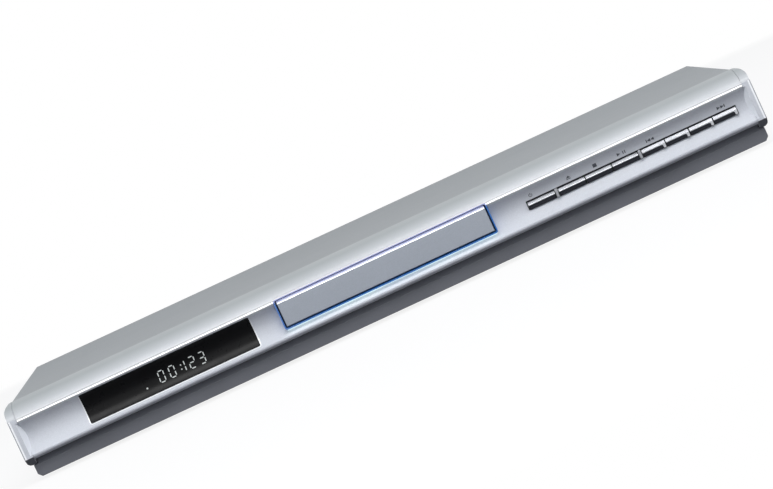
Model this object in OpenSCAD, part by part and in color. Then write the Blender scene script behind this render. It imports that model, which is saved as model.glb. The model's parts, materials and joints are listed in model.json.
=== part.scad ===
// Slim full-width disc player with a motor-driven tray.
// Millimetres. X runs along the front, +Y to the rear, +Z up.
// The origin is the bottom centre of the whole player.
// Inside the modules y is measured back from the nose of the front, and from_nose() moves it into place.

/* [Body] */
// Width over the two end caps
body_w = 435; // [425:1:445]
// Depth from the nose of the front to the outer face of the rear panel
case_d = 236; // [230:1:250]
// Height of the top cover above the surface it stands on
body_h = 44; // [43.5:0.1:46]
// Thickness of the steel sheet
sheet = 0.8; // [0.6:0.1:1]
// Gap under the lower skirt
skirt_gap = 2; // [1.5:0.1:2.5]
// Height of the rubber feet
foot_h = 3; // [2.8:0.1:3.2]
// Radius of the rubber feet
foot_r = 9; // [7:0.5:11]

/* [Front] */
// Depth of the curved top lip, from the nose to the cover's seam
lip_d = 22; // [20:0.5:23]
// Height of the crease where the top lip ends
crease_z = 35.5; // [35.3:0.1:35.8]
// Height of the upper edge of the concave front
scoop_top = 33.7; // [33.6:0.1:33.8]
// Height of the lower edge of the concave front
scoop_bottom = 14.9; // [14.5:0.1:15.1]
// Depth of the concave front
scoop_d = 4.6; // [4.2:0.1:4.8]
// Wall of the moulded front
front_wall = 2; // [1.6:0.1:2.2]
// Width of an end cap
cap_w = 5; // [4:0.1:6]
// Corner radius of an end cap seen from the front
cap_r = 4.4; // [3.5:0.1:4.8]

/* [Display] */
// Distance from the left end to the display window
display_left = 39.6; // [38.5:0.1:41.5]
// Distance from the display window to the light ring
display_right = 15; // [13.6:0.1:16.6]
// Height of the window's lower edge
display_bottom = 16; // [15.8:0.1:17]
// Height of the window's upper edge
display_top = 33.3; // [32.5:0.1:33.4]

/* [Buttons] */
// Distance from the light ring to the button slot
slot_left = 19.9; // [17.6:0.1:21.6]
// Distance from the button slot to the right end
slot_right = 12.1; // [11.5:0.1:14.5]
// Height of the slot's lower edge
slot_bottom = 21.6; // [21.2:0.1:22]
// Height of the slot's upper edge
slot_top = 26.4; // [26:0.1:27]
// Travel of a pressed button
press = 0.6; // [0.3:0.1:0.6]

/* [Tray] */
// Width of the disc tray
tray_w = 122.8; // [122.4:0.1:122.9]
// Radius of the disc that the tray holds
disc_r = 60; // [59.5:0.1:60]
// Distance that the tray slides out
tray_travel = 130; // [110:1:132]
// The tray's edge beyond the lid's, at each side
lid_inset = 0.6; // [0.4:0.05:1.2]
// Height of the lid's lower edge
lid_bottom = 20; // [19.8:0.1:20.5]
// Height of the lid's upper edge
lid_top = 34.7; // [34.2:0.1:34.8]
// Gap beside the tray, to the light ring and to the loader
side_gap = 0.35; // [0.3:0.05:0.5]
// Height of the light ring's lower edge
ring_bottom = 18.3; // [18.2:0.1:18.4]
// Height of the light ring's upper edge
ring_top = 35.6; // [35.5:0.1:35.7]
// Width of the light ring's band
ring_band = 0.65; // [0.5:0.05:0.65]

/* [Mechanism] */
// Tilt of the lift frame when it is down, in degrees
lift_angle = 3; // [2:0.5:3]
// Sideways travel of the cam slider
cam_travel = 16; // [14:0.5:16]
// Travel of the pickup sled
sled_travel = 34; // [30:1:34]
// Radius of the turntable
turntable_r = 14.5; // [13:0.5:15]

/* [Fits] */
// Running clearance between moving pieces
gap = 0.3; // [0.25:0.05:0.35]
// Clearance of a shaft in its bore
fit = 0.05; // [0.02:0.01:0.09]
// Shut line between fixed pieces of the front
seam = 0.15; // [0.05:0.05:0.3]

/* [Hidden] */
$fn = 48;

// One overrun serves every cut
over = 1;

// Heights that the whole player shares
floor_z = foot_h;
floor_top = foot_h + sheet;
half_w = body_w / 2;
cover_half = half_w - cap_w;
cover_play = 0.2;
chassis_half = cover_half - sheet - cover_play;
panel_y = case_d - sheet;
shell_h = 8;
whole_d = case_d + shell_h;
nose_y = -whole_d / 2;
tray_half = tray_w / 2;
lid_half = tray_half - lid_inset;
ring_half = tray_half + side_gap + ring_band;

// The front's outline, from the seam down over the nose and the scoop to the underside
bead_r = 0.9;
bead_turns = [135, 233];
bead_z = scoop_top + 0.89 * bead_r;
scoop_edge = 0.43 * bead_r;
scoop_h = scoop_top - scoop_bottom;
scoop_r = (scoop_h * scoop_h / 4 + scoop_d * scoop_d) / (2 * scoop_d);
scoop_cy = scoop_edge + scoop_d - scoop_r;
scoop_cz = (scoop_top + scoop_bottom) / 2;
scoop_turn = asin(scoop_h / 2 / scoop_r);
scoop_deepest = scoop_edge + scoop_d;
lower_lip_r = 1.5;
lower_lip_turns = [175, 245];
underside_y = 3.6;
underside_z = 12.3;
front_back = 8.2;
inner_turn = 40;
inner_boss_y = scoop_edge + front_wall;

function arc(cy, cz, ry, rz, from, to, steps) = [
    for (i = [0:steps])
        let (a = from + (to - from) * i / steps)
        [cy + ry * cos(a), cz + rz * sin(a)]
];
function scoop_arc(grow, turn, steps) =
    arc(scoop_cy, scoop_cz, scoop_r + grow, scoop_r + grow, turn, -turn, steps);
function reversed(list) = [for (i = [len(list) - 1:-1:0]) list[i]];

lip_points = arc(lip_d, crease_z, lip_d, body_h - crease_z, 90, 180, 24);
bead_points = arc(bead_r, bead_z, bead_r, bead_r, bead_turns[0], bead_turns[1], 6);
lower_lip_at = [scoop_edge + lower_lip_r, scoop_bottom - lower_lip_r / 5];
lower_lip_points = arc(
    lower_lip_at[0], lower_lip_at[1], lower_lip_r, lower_lip_r, lower_lip_turns[0], lower_lip_turns[1], 6
);
inner_front_y = scoop_cy + (scoop_r + front_wall) * cos(inner_turn);
inner_lip_turn = 180 - acos((lip_d - inner_front_y) / (lip_d - front_wall));
inner_lip_points =
    arc(lip_d, crease_z, lip_d - front_wall, body_h - crease_z - front_wall, inner_lip_turn, 90, 16);

// End caps
cap_back = lip_d;
cap_chin = 13.8;
cap_bottom = 9.5;
cap_chin_y = 6;
cap_toe_r = 2.4;
cap_wall = 2.2;
wall_out_inset = 3.7;
wall_in_inset = 6.4;
wall_out = half_w - wall_out_inset;
wall_in = half_w - wall_in_inset;

// Lower skirt
skirt_inset = 2.7;
skirt_half = half_w - skirt_inset;
skirt_front = 5.8;
skirt_bend = 9.1;
skirt_slant = 1.7;
skirt_step = 0.4;
skirt_wall = 2;
skirt_back = 22;
skirt_bevel = 2;

// Display
display_x = [-(half_w - display_left), -(ring_half + display_right)];
display_r = 1.4;
display_sink = 0.5;
pane_flange = 1.2;
flange_w = 1.6;
tube_y = 8.9;
tube_d = 4.1;
tube_inset = 9;
tube_z = 15.5;
tube_h = 18;
board_t = 1.6;
panel_board_z = 15.2;
panel_board_h = 22.4;
panel_board_margin = 7.5;
front_boss_r = 2.5;
front_boss_inset = 2.9;

// Buttons
button_edge_shares = [
    0.003, 0.1308, 0.148, 0.2745, 0.2778, 0.4013, 0.4046, 0.5280,
    0.5451, 0.6548, 0.6581, 0.7685, 0.7718, 0.8822, 0.8855, 0.9970
];
divider_edge_shares = [0.1333, 0.1455, 0.5305, 0.5426];
slot_ends = [ring_half + slot_left, half_w - slot_right];
slot_l = slot_ends[1] - slot_ends[0];
slot_mid = (slot_bottom + slot_top) / 2;
button_front = 2.6;
button_lift = 0.3;
button_chamfer = 1.3;
button_ridge = 0.3;
button_foot = 1.1;
button_flange_y = 7.3;
button_flange_d = 1.2;
button_flange_w = 0.9;
button_stem_r = 1.5;
button_stem_l = 1.5;
switch_body = [6, 2.2, 6];
switch_gap = 0.3;
switch_cap_r = 1.6;
switch_cap_l = 0.5;
switch_front = button_flange_y + button_flange_d + button_stem_l + press + switch_gap;
key_board_y = switch_front + switch_cap_l + switch_body[1];
key_board_margin = [6.3, 3.6];
key_board_left = slot_ends[0] - key_board_margin[0];
key_board_right = slot_ends[1] + key_board_margin[1];

// Light ring
ring_front = 0.25;
ring_back = 8.6;
ring_flange_y = 7.2;
ring_flange_w = 2;
ring_r = 1.5;
ring_cut = 0.1;
top_band_share = 0.7;
ring_light_w = 84;
ring_light_y = 9.8;
ring_light_z = 12.5;
ring_light_h = 5.2;
lamp = [3, 1.2, 2.2];
lamp_places_shares = [-0.4, 0, 0.4];

// Tray
lid_front = 0.3;
lid_back = 3;
lid_bevel = [1.3, 1.5];
tray_bottom = 19.4;
tray_floor = 21.4;
tray_deck = 25;
tray_front_back = 5;
tray_front_top = 34;
drive_y = 37;
tray_grip = 5;
tray_end = drive_y + tray_grip + tray_travel;
tray_rail_w = 2;
disc_y = 71;
disc_gap = 0.35;
disc_seat_z = 23.2;
small_disc_r = 40.3;
small_seat_z = 22.5;
tray_slot_half = 23;
thumb_r = 9;
thumb_turn = 45;
rack_inset = 13.4;
rack_x = tray_half - rack_inset;
rack_l0 = 8;
rack_w = 2.4;

// Gears: module and teeth of each pair, and the play between the teeth
rack_m = 1;
pinion_teeth = 16;
train_m = 0.8;
drive_teeth = 28;
pulley_teeth = 12;
lash = 0.3;
tooth_tip_share = 0.8;
tooth_root_share = 1.1;
tip_half_share = 0.5;
root_half_share = 1.45;
drive_at = [rack_x - rack_m * pinion_teeth / 2, drive_y];
train_step = train_m * (drive_teeth + pulley_teeth) / 2;
pulley_at = [drive_at[0] - train_step, drive_y];
motor_at = [-14, drive_y];
pinion_z = [19.25, 21.05];
train_z = [11, 13.6];
pulley_z = [16.2, 18.8];
pulley_r = 10.5;
motor_pulley_r = 3.2;
groove_r = 0.7;
belt_t = 1;
belt_w = 1.2;
gear_post_r = 1.5;
gear_hub_r = 3;
motor_r = 12;
motor_bottom = 4.3;
motor_top = 15.6;
motor_shaft_r = 1;

// Loader frame
loader_in = tray_half + side_gap;
loader_wall = 3;
loader_out = loader_in + loader_wall;
loader_front = 24;
loader_end = 186;
loader_top = 28.5;
rail_w = 5.2;
rail_t = 2;
rail_top = tray_bottom - gap;
deck_z = [7.6, 9.6];
deck_back = 49.4;
hold_t = 1.4;
hold_z = [tray_deck + gap, tray_deck + gap + hold_t];
hold_w = 3.2;
hold_ys = [26, 140];
hold_l = 9;
loader_ear = [9, 12, 2.5];
loader_ear_ys = [40, 168];
ear_hole_r = 1.7;
rear_beam_y = [160.5, 165];
rear_beam_top = 16;
deck_leg_w = 4;

// Sled's run along its rods
sled_y = 84.8;
sled_l = 24;
sled_stop = 1;
rod_block = [5, 3.2, 3.4];
rod_front = 61;
rod_y = [rod_front, sled_y + sled_l + sled_travel + sled_stop + rod_block[1]];

// Lift frame and its hinge
hinge_y = 158;
hinge_z = 12.3;
hinge_pin_r = 2;
hinge_pin_l = 4.6;
lift_half = 46;
lift_front = 53;
lift_bar = 5;
lift_z = [9.6, 14.6];
lift_play = 4;
lift_end = rod_y[1] + lift_play;
lift_arm_w = 5;
ear_w = 5;
cam_pin_x = -20;
cam_pin_r = 1.5;
cam_pin_l = 3.3;
cam_y = [50.2, 52.2];
cam_x = [-46, 2];
cam_z = [4.1, 15.8];
cam_drop = (hinge_y - (cam_y[0] + cam_y[1]) / 2) * sin(lift_angle);
cam_dwell = 2.5;
cam_play = 0.35;
cam_slot_r = cam_pin_r + cam_play;

// Traverse
plate_z = 12;
plate_t = 1.5;
plate_half = 40;
plate_front = 60;
plate_y = [plate_front, rod_y[1]];
window_x = [-30.5, 26.5];
window_back = 6;
window_front = 86;
window_y = [window_front, plate_y[1] - window_back];
bush_inset = 4;
bush_x = 36;
bush_at = [bush_x, plate_y[0] + bush_inset, plate_y[1] - bush_inset];
bush_r = 4;
bush_waist_r = 2.5;
bush_flange = 1.1;
bush_screw_r = 1.2;
bush_head = [2.6, 1.2];
pad_r = 4.6;
pad_t = 1.3;

// Spindle
spindle_plate_r = 12.4;
spindle_plate_t = 1;
stator_r = 8.5;
stator_h = 3;
sleeve_r = 2.4;
spindle_shaft_r = 1;
rotor_r = 12.6;
rotor_wall = 0.8;
rotor_z = [14.9, 19.6];
neck_r = 5;
platter_t = 1.5;
disc_face = 25.2;
cone_r = [7.3, 6];
cone_h = 2.1;

// Sled
rod_x = 21;
rod_r = 1.5;
rod_z = 16.5;
sled_half = 24.3;
sled_z = [14, 20.4];
sled_window = [14, 13];
lens_y = 94.5;
lens_base = [17, 12];
lens_z = [21, 22.6];
lens_r = 2.6;
lens_top = 23.4;
screw_x = -28;
screw_r = 1.3;
feed_motor_inset = 10;
screw_front = 63.5;
screw_y = [screw_front, rod_y[1] - feed_motor_inset];
screw_block = [3.6, 2.4];
feed_motor_r = 3.4;
feed_motor_l = 9;
feed_bore_l = 3.5;
screw_z = plate_z + plate_t + feed_motor_r;

// Clamp
bridge_y = [58, 84];
bridge_z = [31.2, 32.2];
bridge_leg_w = 3;
clamp_r = 14;
clamp_bottom = 26.9;
clamp_disc_t = 2.8;
clamp_neck_r = 9;
clamp_flange_r = 11.6;
clamp_flange_t = 1.4;
clamp_recess = [8, 1.2];

// Boards, inside the case
board_z = 8;
board_l = 114;
board_end_gap = 5.5;
board_back_gap = 9.2;
main_gap = 4.25;
power_gap = 8.25;
board_end = panel_y - board_back_gap;
main_x = [loader_out + loader_ear[0] + main_gap, chassis_half - board_end_gap];
main_y = [board_end - board_l, board_end];
power_x = [-(chassis_half - board_end_gap), -(loader_out + loader_ear[0] + power_gap)];
power_y = main_y;
post_r = 2.6;
post_inset = 5;
board_screw_r = 1.4;
chip_sizes = [[28, 28, 2.4], [14, 20, 2], [20, 12, 2], [10, 10, 1.6]];
chip_places_shares = [[0.32, 0.45], [0.7, 0.3], [0.68, 0.58], [0.2, 0.16]];
transformer = [36, 30, 24];
transformer_core = 7;
transformer_share = [0.52, 0.42];
capacitor_r = [9, 6, 5];
capacitor_h = [22, 16, 14];
capacitor_places_shares = [[0.14, 0.44], [0.9, 0.24], [0.9, 0.44]];
sink_size = [44, 3, 22];
sink_fin = [1.4, 9];
sink_step = 5.1;
sink_share = [0.30, 0.06];

// Rear sockets
phono_pitch = 14;
phono_end_gap = 110;
phono_x = main_x[1] - phono_end_gap;
phono_top_drop = 13;
phono_top_z = body_h - phono_top_drop;
phono_low_z = phono_top_z - phono_pitch;
phono_r = 4.15;
phono_root_r = 3.2;
phono_relief = 0.5;
phono_hole_r = 1.6;
phono_block_d = 12;
phono_count = 3;
phono_collar_r = 5.4;
phono_collar_t = 1;
svideo_end_gap = 54;
svideo_x = main_x[1] - svideo_end_gap;
svideo_z = 24;
svideo_r = 6.4;
svideo_in_r = 4.8;
svideo_core_r = 3.2;
svideo_l = 5;
svideo_pin_r = 0.45;
svideo_pin_at = [1.7, 1.3];
optical_end_gap = 26;
optical_x = main_x[1] - optical_end_gap;
optical_z = 24;
optical_size = [10, 10];
optical_hole = [6.6, 6.4];
optical_wall = 1;
optical_l = 5.4;
inlet_end_gap = 34;
inlet_x = power_x[0] + inlet_end_gap;
inlet_z = 24;
inlet_size = [24, 14];
inlet_hole = [14.5, 8.2];
inlet_l = 14;
inlet_depth = 11;
inlet_hole_r = 3.9;
inlet_lip = 1.2;
inlet_pin_r = 1.15;
inlet_pin_x = 4.3;
inlet_pin_l = 8;
inlet_lug_l = 3;

// Cables, connectors and screws
ribbon_t = 0.4;
ribbon_w = 16;
ribbon_inset = [16, 46.1];
key_ribbon_x = key_board_left + ribbon_inset[0];
display_ribbon_x = display_x[1] + panel_board_margin - ribbon_inset[1];
ribbon_z = 34.5;
ribbon_drop = 6;
ribbon_drop_y = main_y[0] + ribbon_drop;
plug_size = [18, 5, 4.4];
screw_head_r = 3;
screw_head_h = 1.5;
side_screw_inset = [60, 31];
side_screw_ys = [side_screw_inset[0], case_d - side_screw_inset[1]];
side_screw_z = 11.5;
rear_screw_inset = 37.5;
rear_screw_xs = [-(half_w - rear_screw_inset), 0, half_w - rear_screw_inset];
rear_lip = 7;
rear_screw_drop = 3.6;
rear_screw_z = body_h - rear_screw_drop;
foot_end_gap = 33.5;
foot_inset = [56, 31];
foot_x = half_w - foot_end_gap;
foot_ys = [foot_inset[0], case_d - foot_inset[1]];
vent_count = 10;
vent_size = [2.4, 26];
vent_pitch = 6;
vent_inset = [18, 38];
vent_at = [power_x[0] + vent_inset[0], power_y[0] + vent_inset[1]];

// Everything is laid out back from the nose
module from_nose() {
    translate([0, nose_y, 0])
        children();
}

// Box between two opposite corners
module block(low, high) {
    translate(low)
        cube(high - low);
}

// Upright, lengthwise and sideways round bars
module post(r, at, z) {
    translate([at[0], at[1], z[0]])
        cylinder(r = r, h = z[1] - z[0]);
}
module bar_y(r, x, z, y) {
    translate([x, y[1], z])
        rotate([90, 0, 0])
            cylinder(r = r, h = y[1] - y[0]);
}
module bar_x(r, y, z, x) {
    translate([x[0], y, z])
        rotate([0, 90, 0])
            cylinder(r = r, h = x[1] - x[0]);
}

// A (y, z) outline drawn out along X, and an (x, z) outline drawn out along Y
module along_x(x) {
    translate([x[0], 0, 0])
        rotate([90, 0, 90])
            linear_extrude(x[1] - x[0])
                children();
}
module along_y(y) {
    translate([0, y[1], 0])
        rotate([90, 0, 0])
            linear_extrude(y[1] - y[0])
                children();
}

// Rectangle with round corners, between two opposite corners
module rounded(low, high, r) {
    translate([low[0] + r, low[1]])
        square([high[0] - low[0] - 2 * r, high[1] - low[1]]);
    translate([low[0], low[1] + r])
        square([high[0] - low[0], high[1] - low[1] - 2 * r]);
    for (x = [low[0] + r, high[0] - r])
        for (z = [low[1] + r, high[1] - r])
            translate([x, z])
                circle(r);
}

// Sheet metal enclosure

module bottom_chassis() {
    color("gainsboro")
        from_nose()
            difference() {
                union() {
                    block([-chassis_half, front_back, floor_z], [chassis_half, panel_y, floor_top]);
                    for (side = [-1, 1])
                        translate([side * (chassis_half - sheet / 2), 0, 0])
                            block([-sheet / 2, front_back, floor_z], [sheet / 2, panel_y, underside_z]);
                    block(
                        [-chassis_half, front_back, floor_z],
                        [chassis_half, front_back + sheet, underside_z + front_wall]
                    );
                    for (board = [[main_x, main_y], [power_x, power_y]])
                        board_corners(board)
                            post(post_r, [0, 0], [floor_z, board_z]);
                }
                vent_slots();
                ring_clearance();
            }
}

// The middle of the front flange makes way for the light board
module ring_clearance() {
    block(
        [-ring_half, front_back - over, underside_z - front_wall],
        [ring_half, front_back + sheet + over, underside_z + front_wall + over]
    );
}

module vent_slots() {
    for (side = [-1, 1])
        for (i = [0:vent_count - 1])
            translate([vent_at[0] + i * vent_pitch, vent_at[1], 0])
                block(
                    [side < 0 ? 0 : main_x[0] - power_x[0], 0, floor_z - over],
                    [vent_size[0] + (side < 0 ? 0 : main_x[0] - power_x[0]), vent_size[1], floor_top + over]
                );
}

module board_corners(board) {
    for (x = [board[0][0] + post_inset, board[0][1] - post_inset])
        for (y = [board[1][0] + post_inset, board[1][1] - post_inset])
            translate([x, y, 0])
                children();
}

module top_cover() {
    color("silver")
        from_nose() {
            block([-cover_half, lip_d + seam, body_h - sheet], [cover_half, case_d + sheet, body_h]);
            for (side = [-1, 1])
                translate([side * (cover_half - sheet / 2), 0, 0])
                    block([-sheet / 2, lip_d + seam, floor_z], [sheet / 2, case_d, body_h - sheet]);
            block([-cover_half, case_d, body_h - rear_lip], [cover_half, case_d + sheet, body_h - sheet]);
        }
}

module rear_panel() {
    color("dimgray")
        from_nose()
            difference() {
                block(
                    [-chassis_half, panel_y, floor_z],
                    [chassis_half, case_d, body_h - sheet]
                );
                phono_places()
                    bar_y(phono_collar_r, 0, 0, [panel_y - over, case_d + over]);
                bar_y(svideo_r, svideo_x, svideo_z, [panel_y - over, case_d + over]);
                box_y(optical_x, optical_z, optical_size, [panel_y - over, case_d + over]);
                box_y(inlet_x, inlet_z, inlet_size, [panel_y - over, case_d + over]);
            }
}

module feet() {
    color("black")
        from_nose()
            for (x = [-foot_x, foot_x])
                for (y = foot_ys)
                    post(foot_r, [x, y], [0, foot_h]);
}

module case_screws() {
    ear_z = floor_top + loader_ear[2];
    board_top = board_z + board_t;
    color("silver")
        from_nose() {
            for (y = side_screw_ys) {
                bar_x(screw_head_r, y, side_screw_z, [-cover_half - screw_head_h, -cover_half]);
                bar_x(screw_head_r, y, side_screw_z, [cover_half, cover_half + screw_head_h]);
            }
            for (x = rear_screw_xs)
                bar_y(screw_head_r, x, rear_screw_z, [case_d + sheet, case_d + sheet + screw_head_h]);
            for (board = [[main_x, main_y], [power_x, power_y]])
                board_corners(board) {
                    post(screw_head_r, [0, 0], [board_top, board_top + screw_head_h]);
                    post(board_screw_r, [0, 0], [board_z, board_top]);
                }
            for (side = [-1, 1])
                for (y = loader_ear_ys)
                    translate([side * (loader_out + loader_ear[0] / 2), y + loader_ear[1] / 2, 0]) {
                        post(screw_head_r, [0, 0], [ear_z, ear_z + screw_head_h]);
                        post(board_screw_r, [0, 0], [floor_top, ear_z]);
                    }
        }
}

// Moulded front

module fascia_outline() {
    polygon(concat(
        lip_points,
        bead_points,
        scoop_arc(0, scoop_turn, 28),
        lower_lip_points,
        [
            [underside_y, underside_z],
            [front_back, underside_z],
            [front_back, underside_z + front_wall],
            [inner_front_y + front_wall / 2, underside_z + front_wall]
        ],
        reversed(scoop_arc(front_wall, inner_turn, 20)),
        inner_lip_points
    ));
}

module front_fascia() {
    color("lightsteelblue")
        from_nose() {
            difference() {
                along_x([-cover_half, cover_half])
                    fascia_outline();
                along_y([-over, ring_flange_y])
                    rounded(
                        [display_x[0], display_bottom],
                        [display_x[1], display_top],
                        display_r
                    );
                block([slot_ends[0], -over, slot_bottom], [slot_ends[1], button_flange_y, slot_top]);
                along_y([-over, ring_flange_y])
                    ring_shape(
                        ring_half + ring_cut,
                        ring_bottom - ring_cut,
                        ring_top + ring_cut,
                        ring_r + ring_cut
                    );
            }
            front_bosses();
        }
}

// Posts behind the scoop that carry the display board and the key board
module front_bosses() {
    top_boss_z = panel_board_z + panel_board_h - front_boss_inset;
    boards = [
        [display_x[0] - panel_board_margin, display_x[1] + panel_board_margin, tube_y + tube_d],
        [key_board_left, key_board_right, key_board_y]
    ];
    for (board = boards)
        for (x = [board[0] + front_boss_inset, board[1] - front_boss_inset]) {
            bar_y(front_boss_r, x, top_boss_z, [inner_boss_y, board[2]]);
            bar_y(front_boss_r, x, panel_board_z + front_boss_inset, [scoop_deepest, board[2]]);
        }
}

// End caps

module cap_outline() {
    polygon(concat(
        lip_points,
        [[0, cap_chin], [cap_chin_y, cap_bottom], [cap_back, cap_bottom]]
    ));
}

module scoop_air() {
    polygon(concat(
        scoop_arc(0, scoop_turn, 28),
        [[0, scoop_bottom], [0, scoop_top]]
    ));
}

module cap_front_shape() {
    difference() {
        translate([wall_in - over, cap_bottom])
            square([half_w - wall_in + over, body_h - cap_bottom]);
        translate([half_w - cap_r, body_h - cap_r])
            difference() {
                square(cap_r + over);
                circle(cap_r);
            }
        translate([half_w - cap_toe_r, cap_bottom + cap_toe_r])
            rotate(-90)
                difference() {
                    square(cap_toe_r + over);
                    circle(cap_toe_r);
                }
    }
}

// Right-hand cap; its inner wall slants across the end of the scoop
module end_cap() {
    intersection() {
        along_y([-over, cap_back + over])
            cap_front_shape();
        difference() {
            union() {
                along_x([cover_half + seam, half_w])
                    cap_outline();
                along_x([wall_in, cover_half + seam])
                    scoop_air();
            }
            intersection() {
                along_x([wall_in - over, wall_out])
                    scoop_air();
                translate([0, 0, cap_bottom])
                    linear_extrude(body_h)
                        polygon([
                            [wall_out, -over],
                            [wall_out, 0],
                            [wall_in, scoop_deepest],
                            [wall_in - over, scoop_deepest],
                            [wall_in - over, -over]
                        ]);
            }
            block(
                [cover_half, front_back, cap_bottom + cap_wall],
                [half_w - cap_wall, cap_back - cap_wall, crease_z]
            );
        }
    }
}

module right_end_cap() {
    color("lavender")
        from_nose()
            end_cap();
}

module left_end_cap() {
    color("lavender")
        from_nose()
            mirror([1, 0, 0])
                end_cap();
}

module lower_skirt() {
    back = front_back;
    color("dimgray")
        from_nose()
            intersection() {
                union() {
                    along_x([-skirt_half, skirt_half])
                        polygon([
                            [back, underside_z],
                            [skirt_front + skirt_slant, underside_z],
                            [skirt_front + skirt_step, skirt_bend],
                            [skirt_front, skirt_bend - skirt_step],
                            [skirt_front + skirt_step, skirt_gap],
                            [back, skirt_gap]
                        ]);
                    for (side = [-1, 1])
                        translate([side * (skirt_half - skirt_wall / 2), 0, 0])
                            block(
                                [-skirt_wall / 2, back, skirt_gap],
                                [skirt_wall / 2, skirt_back, cap_bottom - seam]
                            );
                }
                along_y([0, skirt_back + over])
                    polygon([
                        [-skirt_half, skirt_gap + skirt_bevel],
                        [-skirt_half + skirt_bevel, skirt_gap],
                        [skirt_half - skirt_bevel, skirt_gap],
                        [skirt_half, skirt_gap + skirt_bevel],
                        [skirt_half, cap_bottom - seam],
                        [cover_half - seam, cap_bottom - seam],
                        [cover_half - seam, underside_z],
                        [-cover_half + seam, underside_z],
                        [-cover_half + seam, cap_bottom - seam],
                        [-skirt_half, cap_bottom - seam]
                    ]);
            }
}

// Display

module curved_band(low, high, turn) {
    polygon(concat(
        scoop_arc(low, turn, 28),
        reversed(scoop_arc(high, turn, 28))
    ));
}

module display_window() {
    flange = front_wall + pane_flange;
    color("black")
        from_nose() {
            intersection() {
                along_x([display_x[0], display_x[1]])
                    curved_band(display_sink, front_wall + seam, scoop_turn);
                along_y([0, tube_y])
                    rounded(
                        [display_x[0] + seam, display_bottom + seam],
                        [display_x[1] - seam, display_top - seam],
                        display_r - seam
                    );
            }
            intersection() {
                along_x([display_x[0] - flange_w, display_x[1] + flange_w])
                    curved_band(front_wall + seam, flange + seam, scoop_turn);
                block(
                    [display_x[0] - flange_w, 0, underside_z + front_wall + flange_w],
                    [display_x[1] + flange_w, tube_y, display_top]
                );
            }
        }
}

module display_tube() {
    color("darkslategray")
        from_nose()
            block(
                [display_x[0] + tube_inset, tube_y, tube_z],
                [display_x[1] - tube_inset, tube_y + tube_d, tube_z + tube_h]
            );
}

module display_board() {
    color("darkgreen")
        from_nose()
            block(
                [display_x[0] - panel_board_margin, tube_y + tube_d, panel_board_z],
                [display_x[1] + panel_board_margin, tube_y + tube_d + board_t, panel_board_z + panel_board_h]
            );
}

// Light ring and the lamps that feed it

module ring_shape(half, low, high, r) {
    rounded([-half, low], [half, high], r);
}

module tray_light_ring() {
    color("royalblue", 0.8)
        from_nose()
            difference() {
                union() {
                    along_y([ring_front, ring_back])
                        ring_shape(ring_half, ring_bottom, ring_top, ring_r);
                    along_y([ring_flange_y, ring_back])
                        ring_shape(
                            ring_half + ring_flange_w,
                            ring_bottom - ring_flange_w,
                            ring_top + ring_flange_w / 2,
                            ring_r
                        );
                }
                along_y([ring_front - over, ring_back + over])
                    ring_shape(
                        ring_half - ring_band,
                        ring_bottom + ring_band,
                        ring_top - ring_band * top_band_share,
                        ring_r - ring_band
                    );
            }
}

module ring_light_board() {
    color("seagreen")
        from_nose() {
            block(
                [-ring_light_w / 2, ring_light_y, ring_light_z],
                [ring_light_w / 2, ring_light_y + board_t, ring_light_z + ring_light_h]
            );
            for (share = lamp_places_shares)
                translate([share * ring_light_w, 0, ring_light_z + ring_light_h - lamp[2]])
                    block(
                        [-lamp[0] / 2, ring_light_y - lamp[1], 0],
                        [lamp[0] / 2, ring_light_y, lamp[2]]
                    );
        }
}

// Buttons

function slot_x(share) = slot_ends[0] + share * slot_l;

module button(number) {
    left = slot_x(button_edge_shares[2 * number]);
    right = slot_x(button_edge_shares[2 * number + 1]);
    low = slot_bottom + button_lift;
    high = slot_top - button_lift;
    color("silver")
        from_nose() {
            along_x([left, right])
                polygon([
                    [button_flange_y, high],
                    [button_front + button_chamfer, high],
                    [button_front, slot_mid + button_ridge],
                    [button_front, slot_mid - button_ridge],
                    [button_front + button_foot, low],
                    [button_flange_y, low]
                ]);
            block(
                [left, button_flange_y, low - button_flange_w],
                [right, button_flange_y + button_flange_d, high + button_flange_w]
            );
            bar_y(
                button_stem_r,
                (left + right) / 2,
                slot_mid,
                [button_flange_y + button_flange_d, button_flange_y + button_flange_d + button_stem_l]
            );
        }
}

module standby_button() { button(0); }
module eject_button() { button(1); }
module stop_button() { button(2); }
module play_button() { button(3); }
module previous_button() { button(4); }
module slow_button() { button(5); }
module fast_button() { button(6); }
module next_button() { button(7); }

module button_dividers() {
    color("silver")
        from_nose()
            for (i = [0, 2]) {
                block(
                    [slot_x(divider_edge_shares[i]), button_front, slot_bottom],
                    [slot_x(divider_edge_shares[i + 1]), button_flange_y, slot_top]
                );
            }
}

module key_board() {
    color("darkgreen")
        from_nose()
            block(
                [key_board_left, key_board_y, panel_board_z],
                [key_board_right, key_board_y + board_t, panel_board_z + panel_board_h]
            );
}

module key_switches() {
    color("gray")
        from_nose()
            for (number = [0:7]) {
                x = slot_x((button_edge_shares[2 * number] + button_edge_shares[2 * number + 1]) / 2);
                block(
                    [x - switch_body[0] / 2, key_board_y - switch_body[1], slot_mid - switch_body[2] / 2],
                    [x + switch_body[0] / 2, key_board_y, slot_mid + switch_body[2] / 2]
                );
                bar_y(
                    switch_cap_r,
                    x,
                    slot_mid,
                    [key_board_y - switch_body[1] - switch_cap_l, key_board_y - switch_body[1]]
                );
            }
}

// Boards

module board(x, y) {
    difference() {
        block([x[0], y[0], board_z], [x[1], y[1], board_z + board_t]);
        board_corners([x, y])
            post(board_screw_r, [0, 0], [board_z - over, board_z + board_t + over]);
    }
}

function board_place(x, y, share) = [x[0] + share[0] * (x[1] - x[0]), y[0] + share[1] * (y[1] - y[0])];

module main_board() {
    color("green")
        from_nose()
            board(main_x, main_y);
}

module power_board() {
    color("darkkhaki")
        from_nose()
            board(power_x, power_y);
}

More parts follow.
